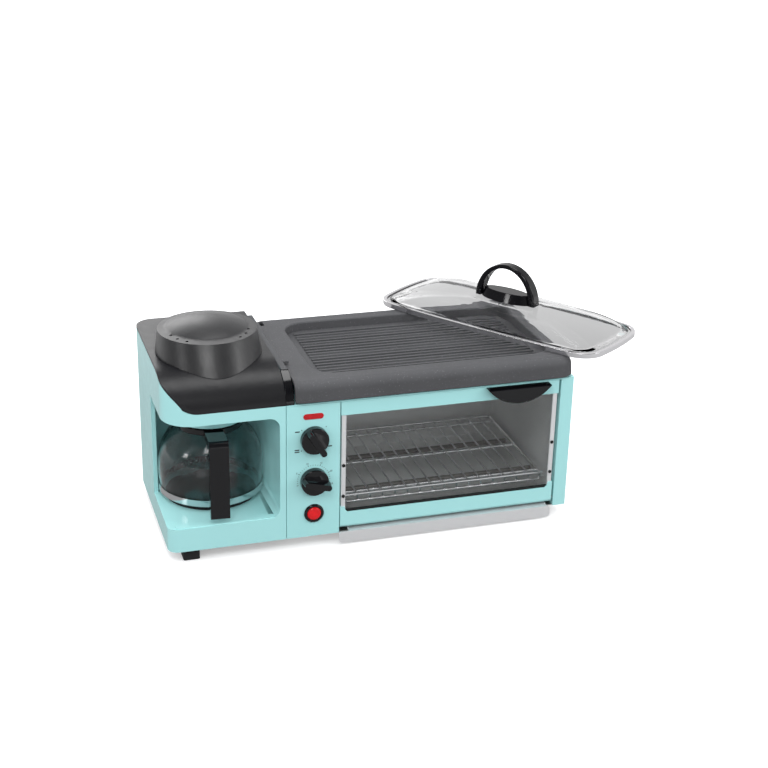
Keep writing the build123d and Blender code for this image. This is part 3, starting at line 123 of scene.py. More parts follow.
class Graph:
    """Nodes of one material, with short ways to add and join them."""

    def __init__(self, name: str) -> None:
        """Starts an empty material.

        Args:
            name: Name of the material.
        """
        self.material = bpy.data.materials.new(name)
        self.material.use_nodes = True
        self.tree = self.material.node_tree
        self.tree.nodes.clear()
        self.output = self.tree.nodes.new("ShaderNodeOutputMaterial")

    def add(self, kind: str, **settings: object) -> bpy.types.Node:
        """Adds a node.

        Args:
            kind: Blender's name of the node type.
            settings: Properties of the node.

        Returns:
            The new node.
        """
        node = self.tree.nodes.new(kind)
        for key, value in settings.items():
            setattr(node, key, value)
        return node

    def join(self, source: bpy.types.NodeSocket, target: bpy.types.NodeSocket) -> None:
        """Links one socket to another."""
        self.tree.links.new(source, target)

    def place(self, stretch: Triple = (1.0, 1.0, 1.0)) -> bpy.types.NodeSocket:
        """Gives the piece's own coordinates, scaled along each axis.

        Args:
            stretch: Scale along X, Y and Z.

        Returns:
            The vector socket.
        """
        coordinates = self.add("ShaderNodeTexCoord")
        mapping = self.add("ShaderNodeMapping")
        mapping.inputs["Scale"].default_value = stretch
        self.join(coordinates.outputs["Object"], mapping.inputs["Vector"])
        return mapping.outputs["Vector"]

    def noise(
        self, where: bpy.types.NodeSocket, scale: float, detail: float = 3.0, roughness: float = 0.5
    ) -> bpy.types.NodeSocket:
        """Adds noise.

        Args:
            where: Coordinates.
            scale: Waves per metre.
            detail: Octaves.
            roughness: How much the fine octaves count.

        Returns:
            The noise's value, about 0 to 1.
        """
        node = self.add("ShaderNodeTexNoise")
        node.inputs["Scale"].default_value = scale
        node.inputs["Detail"].default_value = detail
        node.inputs["Roughness"].default_value = roughness
        self.join(where, node.inputs["Vector"])
        return node.outputs["Fac"]

    def spread(
        self, value: bpy.types.NodeSocket, low: float, high: float, start: float = 0.3, end: float = 0.7
    ) -> bpy.types.NodeSocket:
        """Maps a value from start..end to low..high.

        Args:
            value: What is mapped.
            low: Result at start.
            high: Result at end.
            start: Value that gives low.
            end: Value that gives high.

        Returns:
            The mapped value.
        """
        node = self.add("ShaderNodeMapRange")
        node.inputs["From Min"].default_value = start
        node.inputs["From Max"].default_value = end
        node.inputs["To Min"].default_value = low
        node.inputs["To Max"].default_value = high
        self.join(value, node.inputs["Value"])
        return node.outputs["Result"]

    def blend(self, share: bpy.types.NodeSocket, first: Colour, second: Colour) -> bpy.types.NodeSocket:
        """Mixes two colours.

        Args:
            share: 0 gives the first colour, 1 the second.
            first: Linear red, green and blue.
            second: Linear red, green and blue.

        Returns:
            The mixed colour.
        """
        node = self.add("ShaderNodeMix", data_type="RGBA")
        node.inputs[6].default_value = (*first, 1.0)
        node.inputs[7].default_value = (*second, 1.0)
        self.join(share, node.inputs[0])
        return node.outputs[2]

    def cells(self, where: bpy.types.NodeSocket, scale: float) -> bpy.types.NodeSocket:
        """Adds rounded cells.

        Args:
            where: Coordinates.
            scale: Cells per metre.

        Returns:
            The distance to the middle of the nearest cell.
        """
        node = self.add("ShaderNodeTexVoronoi")
        node.inputs["Scale"].default_value = scale
        self.join(where, node.inputs["Vector"])
        return node.outputs["Distance"]

    def product(self, first: bpy.types.NodeSocket, second: bpy.types.NodeSocket) -> bpy.types.NodeSocket:
        """Multiplies two values.

        Args:
            first: One value.
            second: The other value.

        Returns:
            The product.
        """
        node = self.add("ShaderNodeMath", operation="MULTIPLY")
        self.join(first, node.inputs[0])
        self.join(second, node.inputs[1])
        return node.outputs[0]

    def bump(self, height: bpy.types.NodeSocket, depth: float) -> bpy.types.NodeSocket:
        """Makes a surface normal from a height.

        Args:
            height: Height, 0 to 1.
            depth: Metres that a height of 1 stands for.

        Returns:
            The normal.
        """
        node = self.add("ShaderNodeBump")
        node.inputs["Distance"].default_value = depth
        self.join(height, node.inputs["Height"])
        return node.outputs["Normal"]

    def principled(self, **values: object) -> bpy.types.Node:
        """Adds a Principled shader and wires it to the output.

        Args:
            values: Socket names with underscores for spaces, and their values.

        Returns:
            The shader node.
        """
        shader = self.add("ShaderNodeBsdfPrincipled")
        for key, value in values.items():
            shader.inputs[key.replace("_", " ")].default_value = value
        self.join(shader.outputs["BSDF"], self.output.inputs["Surface"])
        return shader


def lighter(colour: Colour, share: float) -> Colour:
    """Makes a colour lighter, or darker where share is negative.

    Args:
        colour: Linear red, green and blue.
        share: Share of the colour's own strength that is added, from -1 up.

    Returns:
        The new colour.
    """
    return tuple(min(c * (1.0 + share), 1.0) for c in colour)


@dataclass(frozen=True)
class Flecks:
    """Pale flecks that lie in loose patches over a finish."""

    colour: Colour = (0.3, 0.3, 0.31)
    cells: float = 520.0
    core: float = 0.12
    rim: float = 0.26
    patches: float = 700.0
    patch_detail: float = 2.0
    patch_start: float = 0.5
    patch_full: float = 0.62
    strength: float = 0.55

    def scatter(
        self, graph: Graph, where: bpy.types.NodeSocket, tone: bpy.types.NodeSocket
    ) -> bpy.types.NodeSocket:
        """Scatters the flecks over a tone.

        Args:
            graph: Nodes of the material.
            where: Coordinates.
            tone: Colour under the flecks.

        Returns:
            The flecked colour.
        """
        fleck = graph.spread(graph.cells(where, self.cells), 1.0, 0.0, self.core, self.rim)
        patch = graph.noise(where, self.patches, self.patch_detail)
        few = graph.spread(patch, 0.0, self.strength, self.patch_start, self.patch_full)
        mix = graph.add("ShaderNodeMix", data_type="RGBA")
        mix.inputs[7].default_value = (*self.colour, 1.0)
        graph.join(graph.product(fleck, few), mix.inputs[0])
        graph.join(tone, mix.inputs[6])
        return mix.outputs[2]


@dataclass(frozen=True)
class Finish:
    """Opaque finish: slow drift of tone, uneven gloss and a fine grain in the surface."""

    name: str
    colour: Colour
    roughness: float
    pattern: Pattern = Pattern.PLAIN
    metallic: float = 0.0
    specular: float = 0.5
    coat: float = 0.0
    coat_roughness: float = 0.04
    drift: float = 0.03
    drift_scale: float = 14.0
    drift_detail: float = 4.0
    gloss_drift: float = 0.025
    mottle_ratio: float = 6.0
    mottle_detail: float = 5.0
    grain_scale: float = 1400.0
    grain_roughness: float = 0.6
    grain_depth: float = 0.00002
    along: Triple = (1.0, 1.0, 1.0)

    def make(self) -> bpy.types.Material:
        """Builds the material.

        Returns:
            The material.
        """
        graph = Graph(self.name)
        where = graph.place(self.along)
        shader = graph.principled(
            Metallic=self.metallic, Specular_IOR_Level=self.specular, Coat_Weight=self.coat,
            Coat_Roughness=self.coat_roughness,
        )
        graph.join(self.tone(graph, where), shader.inputs["Base Color"])
        mottle = graph.noise(where, self.drift_scale * self.mottle_ratio, self.mottle_detail)
        rough = graph.spread(mottle, self.roughness - self.gloss_drift, self.roughness + self.gloss_drift)
        graph.join(rough, shader.inputs["Roughness"])
        grain = graph.noise(where, self.grain_scale, roughness=self.grain_roughness)
        graph.join(graph.bump(grain, self.grain_depth), shader.inputs["Normal"])
        return graph.material

    def tone(self, graph: Graph, where: bpy.types.NodeSocket) -> bpy.types.NodeSocket:
        """Makes the colour, with its slow drift and its flecks.

        Args:
            graph: Nodes of the material.
            where: Coordinates.

        Returns:
            The colour.
        """
        slow = graph.noise(where, self.drift_scale, self.drift_detail)
        tone = graph.blend(
            graph.spread(slow, 0.0, 1.0), lighter(self.colour, -self.drift), lighter(self.colour, self.drift)
        )
        if self.pattern is Pattern.SPECKLED:
            tone = Flecks().scatter(graph, where, tone)
        return tone


@dataclass(frozen=True)
class Mist:
    """Fine beads of moisture on a glass, which thin out downwards from high to low."""

    haze: float = 0.16
    low: float = 0.07
    high: float = 0.1
    beads: float = 620.0
    bead_core: float = 0.1
    bead_rim: float = 0.42
    patches: float = 90.0
    patch_detail: float = 4.0
    patch_start: float = 0.42
    patch_full: float = 0.6
    relief: float = 0.00022

    def settle(
        self, graph: Graph, where: bpy.types.NodeSocket, shader: bpy.types.Node, rough: bpy.types.NodeSocket
    ) -> bpy.types.NodeSocket:
        """Adds the beads to a glass.

        Args:
            graph: Nodes of the material.
            where: Coordinates.
            shader: Shader that takes the beads' relief.
            rough: Roughness without them.

        Returns:
            The roughness with them.
        """
        height = graph.add("ShaderNodeSeparateXYZ")
        graph.join(where, height.inputs[0])
        band = graph.spread(height.outputs["Z"], 0.0, 1.0, self.low, self.high)
        bead = graph.spread(graph.cells(where, self.beads), 1.0, 0.0, self.bead_core, self.bead_rim)
        patch = graph.noise(where, self.patches, self.patch_detail)
        few = graph.spread(patch, 0.0, 1.0, self.patch_start, self.patch_full)
        share = graph.product(graph.product(band, bead), few)
        graph.join(graph.bump(share, self.relief), shader.inputs["Normal"])
        scaled = graph.add("ShaderNodeMath", operation="MULTIPLY_ADD")
        graph.join(share, scaled.inputs[0])
        scaled.inputs[1].default_value = self.haze
        graph.join(rough, scaled.inputs[2])
        return scaled.outputs[0]


@dataclass(frozen=True)
class Clear:
    """Glass or clear plastic that lets the lamps reach what is behind it."""

    name: str
    colour: Colour = (0.955, 0.965, 0.97)
    roughness: float = 0.0
    index: float = 1.45
    specular: float = 0.5
    shade: Colour = (0.9, 0.92, 0.92)
    film: float = 0.02
    film_scale: float = 30.0
    film_detail: float = 5.0
    film_roughness: float = 0.6
    film_start: float = 0.45
    film_full: float = 0.75
    mist: Mist | None = None

    def make(self) -> bpy.types.Material:
        """Builds the material.

        Returns:
            The material.
        """
        graph = Graph(self.name)
        shader = graph.add("ShaderNodeBsdfPrincipled")
        shader.inputs["Base Color"].default_value = (*self.colour, 1.0)
        shader.inputs["Transmission Weight"].default_value = 1.0
        shader.inputs["IOR"].default_value = self.index
        shader.inputs["Specular IOR Level"].default_value = self.specular
        where = graph.place()
        haze = graph.noise(where, self.film_scale, self.film_detail, self.film_roughness)
        rough = graph.spread(
            haze, self.roughness, self.roughness + self.film, self.film_start, self.film_full
        )
        if self.mist is not None:
            rough = self.mist.settle(graph, where, shader, rough)
        graph.join(rough, shader.inputs["Roughness"])
        lamp = graph.add("ShaderNodeBsdfTransparent")
        lamp.inputs["Color"].default_value = (*self.shade, 1.0)
        path = graph.add("ShaderNodeLightPath")
        mix = graph.add("ShaderNodeMixShader")
        graph.join(path.outputs["Is Shadow Ray"], mix.inputs[0])
        graph.join(shader.outputs["BSDF"], mix.inputs[1])
        graph.join(lamp.outputs["BSDF"], mix.inputs[2])
        graph.join(mix.outputs[0], graph.output.inputs["Surface"])
        return graph.material


@dataclass(frozen=True)
class Lens:
    """Red moulded lens with a lamp behind it; its glow is brightest at its centre, where a painted highlight
    adds to the lamp's light.
    """

    name: str
    centre: Triple
    reach: float
    glow: float
    colour: Colour = (0.5, 0.004, 0.008)
    core_light: Colour = (1.0, 0.004, 0.003)
    rim_light: Colour = (0.35, 0.0, 0.0)
    rim_share: float = 0.25
    roughness: float = 0.2
    coat: float = 0.25
    coat_roughness: float = 0.03
    cloud_scale: float = 260.0
    cloud_dark: float = 0.25
    cloud_pale: float = 0.05
    ripple_scale: float = 900.0
    ripple_detail: float = 2.0
    ripple_depth: float = 0.00003

    def make(self) -> bpy.types.Material:
        """Builds the material.

        Returns:
            The material.
        """
        graph = Graph(self.name)
        shader = graph.principled(
            Roughness=self.roughness, Coat_Weight=self.coat, Coat_Roughness=self.coat_roughness
        )
        where = graph.place()
        middle = graph.add("ShaderNodeVectorMath", operation="DISTANCE")
        middle.inputs[1].default_value = self.centre
        graph.join(where, middle.inputs[0])
        near = graph.spread(middle.outputs["Value"], 1.0, self.rim_share, 0.0, self.reach)
        cloud = graph.spread(graph.noise(where, self.cloud_scale), 0.0, 1.0)
        tone = graph.blend(
            cloud, lighter(self.colour, -self.cloud_dark), lighter(self.colour, self.cloud_pale)
        )
        graph.join(tone, shader.inputs["Base Color"])
        # Lamp glow that fades from the centre to the rim; the bright centre is partly a painted highlight
        light = graph.blend(near, self.rim_light, self.core_light)
        graph.join(light, shader.inputs["Emission Color"])
        shader.inputs["Emission Strength"].default_value = self.glow
        ripple = graph.noise(where, self.ripple_scale, self.ripple_detail)
        graph.join(graph.bump(ripple, self.ripple_depth), shader.inputs["Normal"])
        return graph.material


@dataclass
class Palette:
    """The finishes of this object, each made once."""

    finishes: dict[str, Finish | Clear | Lens] = field(default_factory=dict)
    made: dict[str, bpy.types.Material] = field(default_factory=dict)

    def __post_init__(self) -> None:
        """Lists the finishes."""
        aqua = (0.39, 0.735, 0.735)
        listed = (
            Finish(
                "aqua_plastic", aqua, 0.19, coat=0.12, drift=0.012, grain_scale=320.0, grain_depth=0.000025,
            ),
            Finish(
                "aqua_metal", aqua, 0.2, coat=0.12, drift=0.01, grain_scale=420.0, grain_depth=0.000018,
            ),
            Finish(
                "black_satin", (0.01, 0.01, 0.0115), 0.36, specular=0.36, drift=0.02, grain_scale=1900.0,
                grain_depth=0.00003,
            ),
            Finish("black_gloss", (0.004, 0.004, 0.005), 0.08, drift=0.0, gloss_drift=0.03),
            Finish(
                "lid_satin", (0.012, 0.012, 0.0135), 0.38, specular=0.85, drift=0.02,
                grain_scale=1900.0, grain_depth=0.00003,
            ),
            Finish(
                "nonstick", (0.078, 0.078, 0.082), 0.46, Pattern.SPECKLED, specular=0.06, drift=0.06,
                grain_scale=1500.0, grain_depth=0.00008,
            ),
            Finish("bright_steel", (0.66, 0.66, 0.67), 0.1, metallic=1.0, gloss_drift=0.04),
            Finish("rim_steel", (0.84, 0.83, 0.85), 0.14, metallic=1.0, gloss_drift=0.04),
            Finish("wire_steel", (0.72, 0.72, 0.73), 0.2, metallic=1.0),
            Finish(
                "liner_steel", (0.68, 0.685, 0.68), 0.36, metallic=0.6, drift=0.06,
                along=(0.12, 1.0, 1.0), grain_scale=900.0,
            ),
            Finish(
                "tray_metal", (0.88, 0.88, 0.89), 0.34, metallic=0.6, drift=0.03,
                along=(0.1, 1.0, 1.0), grain_scale=1100.0,
            ),
            Finish("plated_steel", (0.52, 0.52, 0.51), 0.3, metallic=1.0, drift=0.06),
            Finish("aluminium", (0.6, 0.6, 0.61), 0.35, metallic=1.0, drift=0.05),
            Finish("heater_sheath", (0.13, 0.12, 0.11), 0.5, metallic=0.6, drift=0.2, grain_depth=0.00006),
            Finish("dark_coat", (0.016, 0.016, 0.017), 0.36, specular=0.35, drift=0.08, grain_depth=0.00005),
            Finish("rubber", (0.014, 0.014, 0.015), 0.62, specular=0.3, drift=0.15, grain_depth=0.00008),
            Finish("seal", (0.012, 0.012, 0.012), 0.5, specular=0.3, drift=0.1, grain_depth=0.00004),
            Finish("ceramic", (0.72, 0.69, 0.62), 0.5, drift=0.06, grain_depth=0.00005),
            Finish("inner_plastic", (0.5, 0.5, 0.48), 0.45, drift=0.04),
            Finish("panel_ink", (0.012, 0.012, 0.014), 0.5, drift=0.2, grain_scale=2600.0),
            Clear("clear_glass"),
            Clear("lid_pane", colour=(0.985, 0.985, 0.99), index=1.14, specular=0.6),
            # The carafe's grey tint is partly painted shade for the jar's dark reflections, and partly stands
            # in for the coffee that is left out
            Clear("carafe_glass", colour=(0.74, 0.75, 0.76), shade=(0.7, 0.72, 0.72), mist=Mist()),
            Clear(
                "clear_plastic", colour=(0.9, 0.93, 0.94), roughness=0.14, index=1.5, shade=(0.7, 0.72, 0.73)
            ),
        )
        for finish in listed:
            self.finishes[finish.name] = finish

    def add(self, finish: Finish | Clear | Lens) -> None:
        """Lists one more finish."""
        self.finishes[finish.name] = finish

    def material(self, name: str) -> bpy.types.Material:
        """Gives the material of a finish, made at its first use.

        Args:
            name: Name of the finish.

        Returns:
            The material.
        """
        if name not in self.made:
            self.made[name] = self.finishes[name].make()
        return self.made[name]


class Workshop:
    """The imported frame, and what every sub-assembly needs to work on it."""

    def __init__(self, frame: dict, palette: Palette) -> None:
        """Keeps the frame and finds the drawing's origin in it.

        Args:
            palette: The finishes.
        """
        self.frame = frame
        self.palette = palette
        corner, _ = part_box("coffee_housing")
        self.origin = Vector((0.0, 0.0, FEET_HEIGHT * MILLI)) - corner

    def at(self, x: float, y: float, z: float) -> Vector:
        """Turns a place in millimetres into the frame's metres."""
        return Vector((x, y, z)) * MILLI - self.origin

    def node(self, name: str) -> bpy.types.Object:
        """Gives a node of the frame."""
        return self.frame["nodes"][name]

    def dress(self, name: str, finish: str) -> None:
        """Gives a node of the frame a finish.

        Args:
            name: Node.
            finish: Finish.
        """
        mesh = self.node(name).data
        mesh.materials.clear()
        mesh.materials.append(self.palette.material(finish))
        log.info("dressed %s in %s", name, finish)

    def adopt(self, mesh: bpy.types.Mesh, name: str, body: str, finish: str, slot: str) -> bpy.types.Object:
        """Makes a piece of a mesh.

        Args:
            mesh: Mesh in the frame's metres.
            name: Name of the piece.
            body: Body that it rides on.
            finish: Finish.
            slot: Not used.

        Returns:
            The piece.
        """
        piece = bpy.data.objects.new(name, mesh)
        bpy.context.scene.collection.objects.link(piece)
        mesh.materials.clear()
        mesh.materials.append(self.palette.material(finish))
        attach(piece, body)
        log.info("built %s on %s", name, body)
        return piece

    def soften(
        self, name: str, finish: str, slot: str, edge: float, rounding: Rounding = Rounding.COARSE
    ) -> bpy.types.Object:
        """Replaces a node by the same shape with its outer edges rounded.

        Args:
            name: Node.
            finish: Finish.
            slot: Material slot of the record.
            edge: Radius of the rounding, in millimetres.
            rounding: Faces across the rounding.

        Returns:
            The piece.
        """
        source = self.node(name)
        form = bmesh.new()
        form.from_mesh(source.data)
        bmesh.ops.remove_doubles(form, verts=form.verts, dist=WELD_DISTANCE)
        plane = math.radians(SAME_PLANE_ANGLE)
        bmesh.ops.dissolve_limit(form, angle_limit=plane, verts=form.verts, edges=form.edges)
        limit = math.radians(ROUNDED_EDGE_ANGLE)
        sharp = [
            e for e in form.edges
            if len(e.link_faces) == 2 and e.is_convex and e.calc_face_angle(0.0) > limit
        ]
        if edge > 0 and sharp:
            bmesh.ops.bevel(
                form, geom=sharp, offset=edge * MILLI, offset_type="OFFSET", segments=rounding.value,
                profile=0.5, affect="EDGES", clamp_overlap=True, loop_slide=True,
            )
        mesh = bpy.data.meshes.new(name + "_soft")
        form.to_mesh(mesh)
        form.free()
        piece = self.adopt(mesh, name + "_soft", source["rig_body"], finish, slot)
        shade(piece)
        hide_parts(name)
        return piece


def shade(piece: bpy.types.Object) -> None:
    """Shades a piece smoothly, with flat faces kept flat.

    Args:
        piece: The piece.
    """
    mesh = piece.data
    mesh.shade_smooth()
    mesh.set_sharp_from_angle(angle=math.radians(SMOOTH_SHADE_ANGLE))
    weighted = piece.modifiers.new("flat_faces", "WEIGHTED_NORMAL")
    weighted.keep_sharp = True
    weighted.weight = FLAT_FACE_WEIGHT


@dataclass
class SubAssembly:
    """A part of the object that builds its own pieces and dresses its nodes."""

    shop: Workshop
    dressed: dict[str, str] = field(default_factory=dict)

    def build(self) -> None:
        """Builds the pieces. The plain case has none."""

    def dress(self) -> None:
        """Gives the nodes their finishes."""
        for node, finish in self.dressed.items():
            self.shop.dress(node, finish)


@dataclass
class CoffeeMaker(SubAssembly):
    """Housing, deck, drum lid and the parts that brew."""

    housing_edge: float = 2.2
    deck_edge: float = 0.8
    lid_edge: float = 1.6
    valve_lift: float = 4.0

    def __post_init__(self) -> None:
        """Lists the nodes that keep their shape."""
        self.dressed = {
            "drum_lid_pin": "plated_steel", "filter_basket": "black_satin", "drip_valve": "seal",
            "water_tank": "clear_plastic", "boiler_tube": "aluminium",
            "water_hoses": "seal", "spray_tube": "inner_plastic", "warming_plate": "dark_coat",
        }

    def build(self) -> None:
        """Builds the housing, the deck, the drum lid and the valve's spring."""
        shop = self.shop
        shop.soften("coffee_housing", "aqua_plastic", "aqua_plastic", self.housing_edge, Rounding.LARGE)
        shop.soften("top_deck", "black_satin", "black_satin", self.deck_edge, Rounding.FINE)
        shop.soften("drum_lid", "lid_satin", "black_satin", self.lid_edge, Rounding.FINE)
        self.spring()

    def spring(self) -> None:
        """Builds the valve's spring, which shortens from below as the valve rises."""
        piece = self.shop.soften("valve_spring", "plated_steel", "plated_steel", 0.0)
        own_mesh(piece)


@dataclass
class Carafe(SubAssembly):
    """Glass jar with its steel band, collar, grip and lid."""

    grip_edge: float = 1.6
    lid_edge: float = 1.0

    def __post_init__(self) -> None:
        """Lists the nodes that keep their shape."""
        self.dressed = {"carafe_band": "bright_steel"}

    def build(self) -> None:
        """Builds the jar, the grip and the lid."""
        self.shop.soften("carafe_glass", "carafe_glass", "clear_glass", 0.0)
        self.shop.soften("carafe_handle", "black_gloss", "black_gloss", self.grip_edge, Rounding.FINE)
        self.shop.soften("carafe_lid", "black_gloss", "black_gloss", self.lid_edge, Rounding.FINE)


@dataclass
class ControlPanel(SubAssembly):
    """Panel with its dials, its lit button and the marks printed round them."""

    dial_x: float = 169.6
    function_z: float = 139.7
    timer_z: float = 87.3
    tick_radius: float = 18.6
    tick_length: float = 1.7
    tick_width: float = 0.45
    number_radius: float = 22.8
    number_size: float = 3.0
    ink_depth: float = 0.12
    ink_shoulder: float = 0.7
    ink_taper: float = 0.8
    end_points: int = 7
    first_tick: float = -104.0
    last_tick: float = 150.0
    ticks: int = 31
    long_every: int = 5
    long_length: float = 1.35
    short_length: float = 0.75
    long_width: float = 1.3
    minutes_apart: float = 5.0
    choice_bars: tuple[Triple, ...] = (
        (-19.4, 10.6, 5.8), (-19.8, -12.2, 5.8), (-19.8, -14.6, 5.8), (19.0, -11.0, 5.4),
    )
    choice_bar_width: float = 1.4
    choice_dots: tuple[tuple[float, float], ...] = ((-14.2, 12.2), (14.4, 13.8), (-14.6, -13.6))
    choice_dot_width: float = 1.2
    panel_edge: float = 0.5
    knob_edge: float = 0.6
    button: Triple = (170.0, -3.5, 44.9)
    button_reach: float = 0.009
    button_glow: float = 0.3
    button_edge: float = 0.8
    bezel_edge: float = 0.5
    window: Triple = (169.0, -0.8, 168.0)
    window_reach: float = 0.016
    window_glow: float = 0.04
    window_edge: float = 0.35

    def __post_init__(self) -> None:
        """Lists the nodes that keep their shape."""
        self.dressed = {
            "lamp_body": "inner_plastic", "function_shaft": "inner_plastic",
            "function_switch": "inner_plastic", "timer_shaft": "inner_plastic",
            "timer_body": "plated_steel", "button_switch": "inner_plastic",
        }

    def build(self) -> None:
        """Builds the panel, the dials, the button and the printed marks."""
        shop = self.shop
        button_centre = tuple(shop.at(*self.button))
        window_centre = tuple(shop.at(*self.window))
        shop.palette.add(Lens("lit_button", button_centre, self.button_reach, self.button_glow))
        shop.palette.add(Lens("lamp_lens", window_centre, self.window_reach, self.window_glow))
        shop.soften("control_panel", "aqua_metal", "aqua_metal", self.panel_edge)
        shop.soften("function_knob", "black_gloss", "black_gloss", self.knob_edge, Rounding.FINE)
        shop.soften("timer_knob", "black_gloss", "black_gloss", self.knob_edge, Rounding.FINE)
        shop.soften("power_button", "lit_button", "red_lens", self.button_edge, Rounding.FINE)
        shop.soften("button_bezel", "black_gloss", "black_gloss", self.bezel_edge, Rounding.FINE)
        shop.soften("lamp_window", "lamp_lens", "red_lens", self.window_edge)
        self.timer_marks()
        self.function_marks()

    def bar(
        self, form: bmesh.types.BMesh, x: float, z: float, length: float, width: float, turn: float
    ) -> None:
        """Adds one printed bar with round ends.

        Args:
            form: Mesh that takes the bar.
            x: Middle of the bar.
            z: Middle of the bar.
            length: Length along the bar.
            width: Width across it.
            turn: Degrees clockwise from upright.
        """
        angle = math.radians(turn)
        along = Vector((math.sin(angle), 0.0, math.cos(angle)))
        side = Vector((math.cos(angle), 0.0, -math.sin(angle)))
        reach = max(length - width, 0.0) / 2
        rim = []
        for end in (1, -1):
            for k in range(self.end_points):
                sweep = math.pi * k / (self.end_points - 1)
                local = along * (end * (reach + width / 2 * math.sin(sweep)))
                rim.append(local + side * (end * width / 2 * math.cos(sweep)))
        loops = []
        shoulder = -self.ink_depth * self.ink_shoulder
        for depth, grow in ((0.0, 1.0), (shoulder, 1.0), (-self.ink_depth, self.ink_taper)):
            loop = []
            for point in rim:
                place = self.shop.at(x + point.x * grow, depth, z + point.z * grow)
                loop.append(form.verts.new(place))
            loops.append(loop)
        count = len(rim)
        for low, high in zip(loops, loops[1:]):
            for k in range(count):
                form.faces.new((low[k], low[(k + 1) % count], high[(k + 1) % count], high[k]))
        form.faces.new(loops[-1])
        form.faces.new(list(reversed(loops[0])))

    def printed(self, form: bmesh.types.BMesh, name: str) -> None:
        """Turns a mesh of bars into a printed piece.

        Args:
            form: The bars.
            name: Name of the piece.
        """
        bmesh.ops.recalc_face_normals(form, faces=form.faces)
        mesh = bpy.data.meshes.new(name)
        form.to_mesh(mesh)
        form.free()
        self.shop.adopt(mesh, name, "cabinet", "panel_ink", "black_satin")

    def timer_marks(self) -> None:
        """Prints the timer's ticks and its minute numbers."""
        form = bmesh.new()
        last = self.ticks - 1
        for k in range(self.ticks):
            turn = self.first_tick + (self.last_tick - self.first_tick) * k / last
            long = k % self.long_every == 0
            length = self.tick_length * (self.long_length if long else self.short_length)
            radius = self.tick_radius + length / 2
            angle = math.radians(turn)
            x = self.dial_x + radius * math.sin(angle)
            z = self.timer_z + radius * math.cos(angle)
            self.bar(form, x, z, length, self.tick_width * (self.long_width if long else 1.0), turn)
            if long and 0 < k < last:
                self.number(str(int(k * self.minutes_apart / self.long_every)), turn)
        self.printed(form, "timer_ticks")

    def number(self, text: str, turn: float) -> None:
        """Prints one number beside the timer.

        Args:
            text: The number.
            turn: Degrees clockwise from the top.
        """
        angle = math.radians(turn)
        x = self.dial_x + self.number_radius * math.sin(angle)
        z = self.timer_z + self.number_radius * math.cos(angle)
        curve = bpy.data.curves.new("number_" + text, "FONT")
        curve.body = text
        curve.size = self.number_size * MILLI
        curve.extrude = self.ink_depth / 2 * MILLI
        curve.align_x = "CENTER"
        curve.align_y = "CENTER"
        holder = bpy.data.objects.new("number_" + text, curve)
        bpy.context.scene.collection.objects.link(holder)
        upright = Matrix.Rotation(math.radians(90), 4, "X")
        holder.matrix_world = Matrix.Translation(self.shop.at(x, -self.ink_depth / 2, z)) @ upright
        bpy.context.view_layer.update()
        evaluated = holder.evaluated_get(bpy.context.evaluated_depsgraph_get())
        mesh = bpy.data.meshes.new_from_object(evaluated)
        mesh.transform(holder.matrix_world)
        bpy.data.objects.remove(holder)
        self.shop.adopt(mesh, "timer_number_" + text, "cabinet", "panel_ink", "black_satin")

    def function_marks(self) -> None:
        """Prints the bars and dots that stand for the heating choices."""
        form = bmesh.new()
        x, z = self.dial_x, self.function_z
        for dx, dz, length in self.choice_bars:
            self.bar(form, x + dx, z + dz, length, self.choice_bar_width, 90.0)
        for dx, dz in self.choice_dots:
            self.bar(form, x + dx, z + dz, self.choice_dot_width, self.choice_dot_width, 0.0)
        self.printed(form, "function_marks")


@dataclass
class Oven(SubAssembly):
    """Case, liner, heaters, rack on its runners, crumb tray and base plate."""

    case_edge: float = 0.6
    tray_edge: float = 0.35

    def __post_init__(self) -> None:
        """Lists the nodes that keep their shape."""
        self.dressed = {
            "cavity_liner": "liner_steel", "upper_heaters": "heater_sheath", "lower_heaters": "heater_sheath",
            "heater_end_blocks": "ceramic", "rack_runners": "liner_steel", "oven_base_plate": "plated_steel",
        }

    def build(self) -> None:
        """Builds the case, the rack and the tray."""
        self.shop.soften("oven_case", "aqua_metal", "aqua_metal", self.case_edge)
        self.shop.soften("wire_rack", "wire_steel", "wire_steel", 0.0)
        self.shop.soften("crumb_tray", "tray_metal", "tray_metal", self.tray_edge)


@dataclass
class OvenDoor(SubAssembly):
    """Door with its rails, strips, pane, pull and hinge pins."""

    rail_edge: float = 0.6
    strip_edge: float = 0.3
    pane_edge: float = 0.4
    pull_edge: float = 0.7

    def __post_init__(self) -> None:
        """Lists the nodes that keep their shape."""
        self.dressed = {
            "door_gasket": "seal", "door_rivets": "black_gloss", "door_hinge_pins": "plated_steel",
            "door_pull_screws": "plated_steel",
        }

    def build(self) -> None:
        """Builds the rails, the strips, the pane and the pull."""
        shop = self.shop
        shop.soften("door_top_rail", "aqua_metal", "aqua_metal", self.rail_edge, Rounding.FINE)
        shop.soften("door_bottom_rail", "aqua_metal", "aqua_metal", self.rail_edge, Rounding.FINE)
        shop.soften("door_side_strips", "tray_metal", "tray_metal", self.strip_edge)
        shop.soften("door_glass", "clear_glass", "clear_glass", self.pane_edge)
        shop.soften("door_pull", "black_gloss", "black_gloss", self.pull_edge, Rounding.FINE)


@dataclass
class Griddle(SubAssembly):
    """Cooking plate and the clip strip in front of its divider."""

    plate_edge: float = 0.6
    strip_edge: float = 0.8

    def build(self) -> None:
        """Builds the plate and the strip."""
        self.shop.soften("griddle", "nonstick", "nonstick", self.plate_edge, Rounding.FINE)
        self.shop.soften("front_trim", "black_gloss", "black_gloss", self.strip_edge, Rounding.FINE)


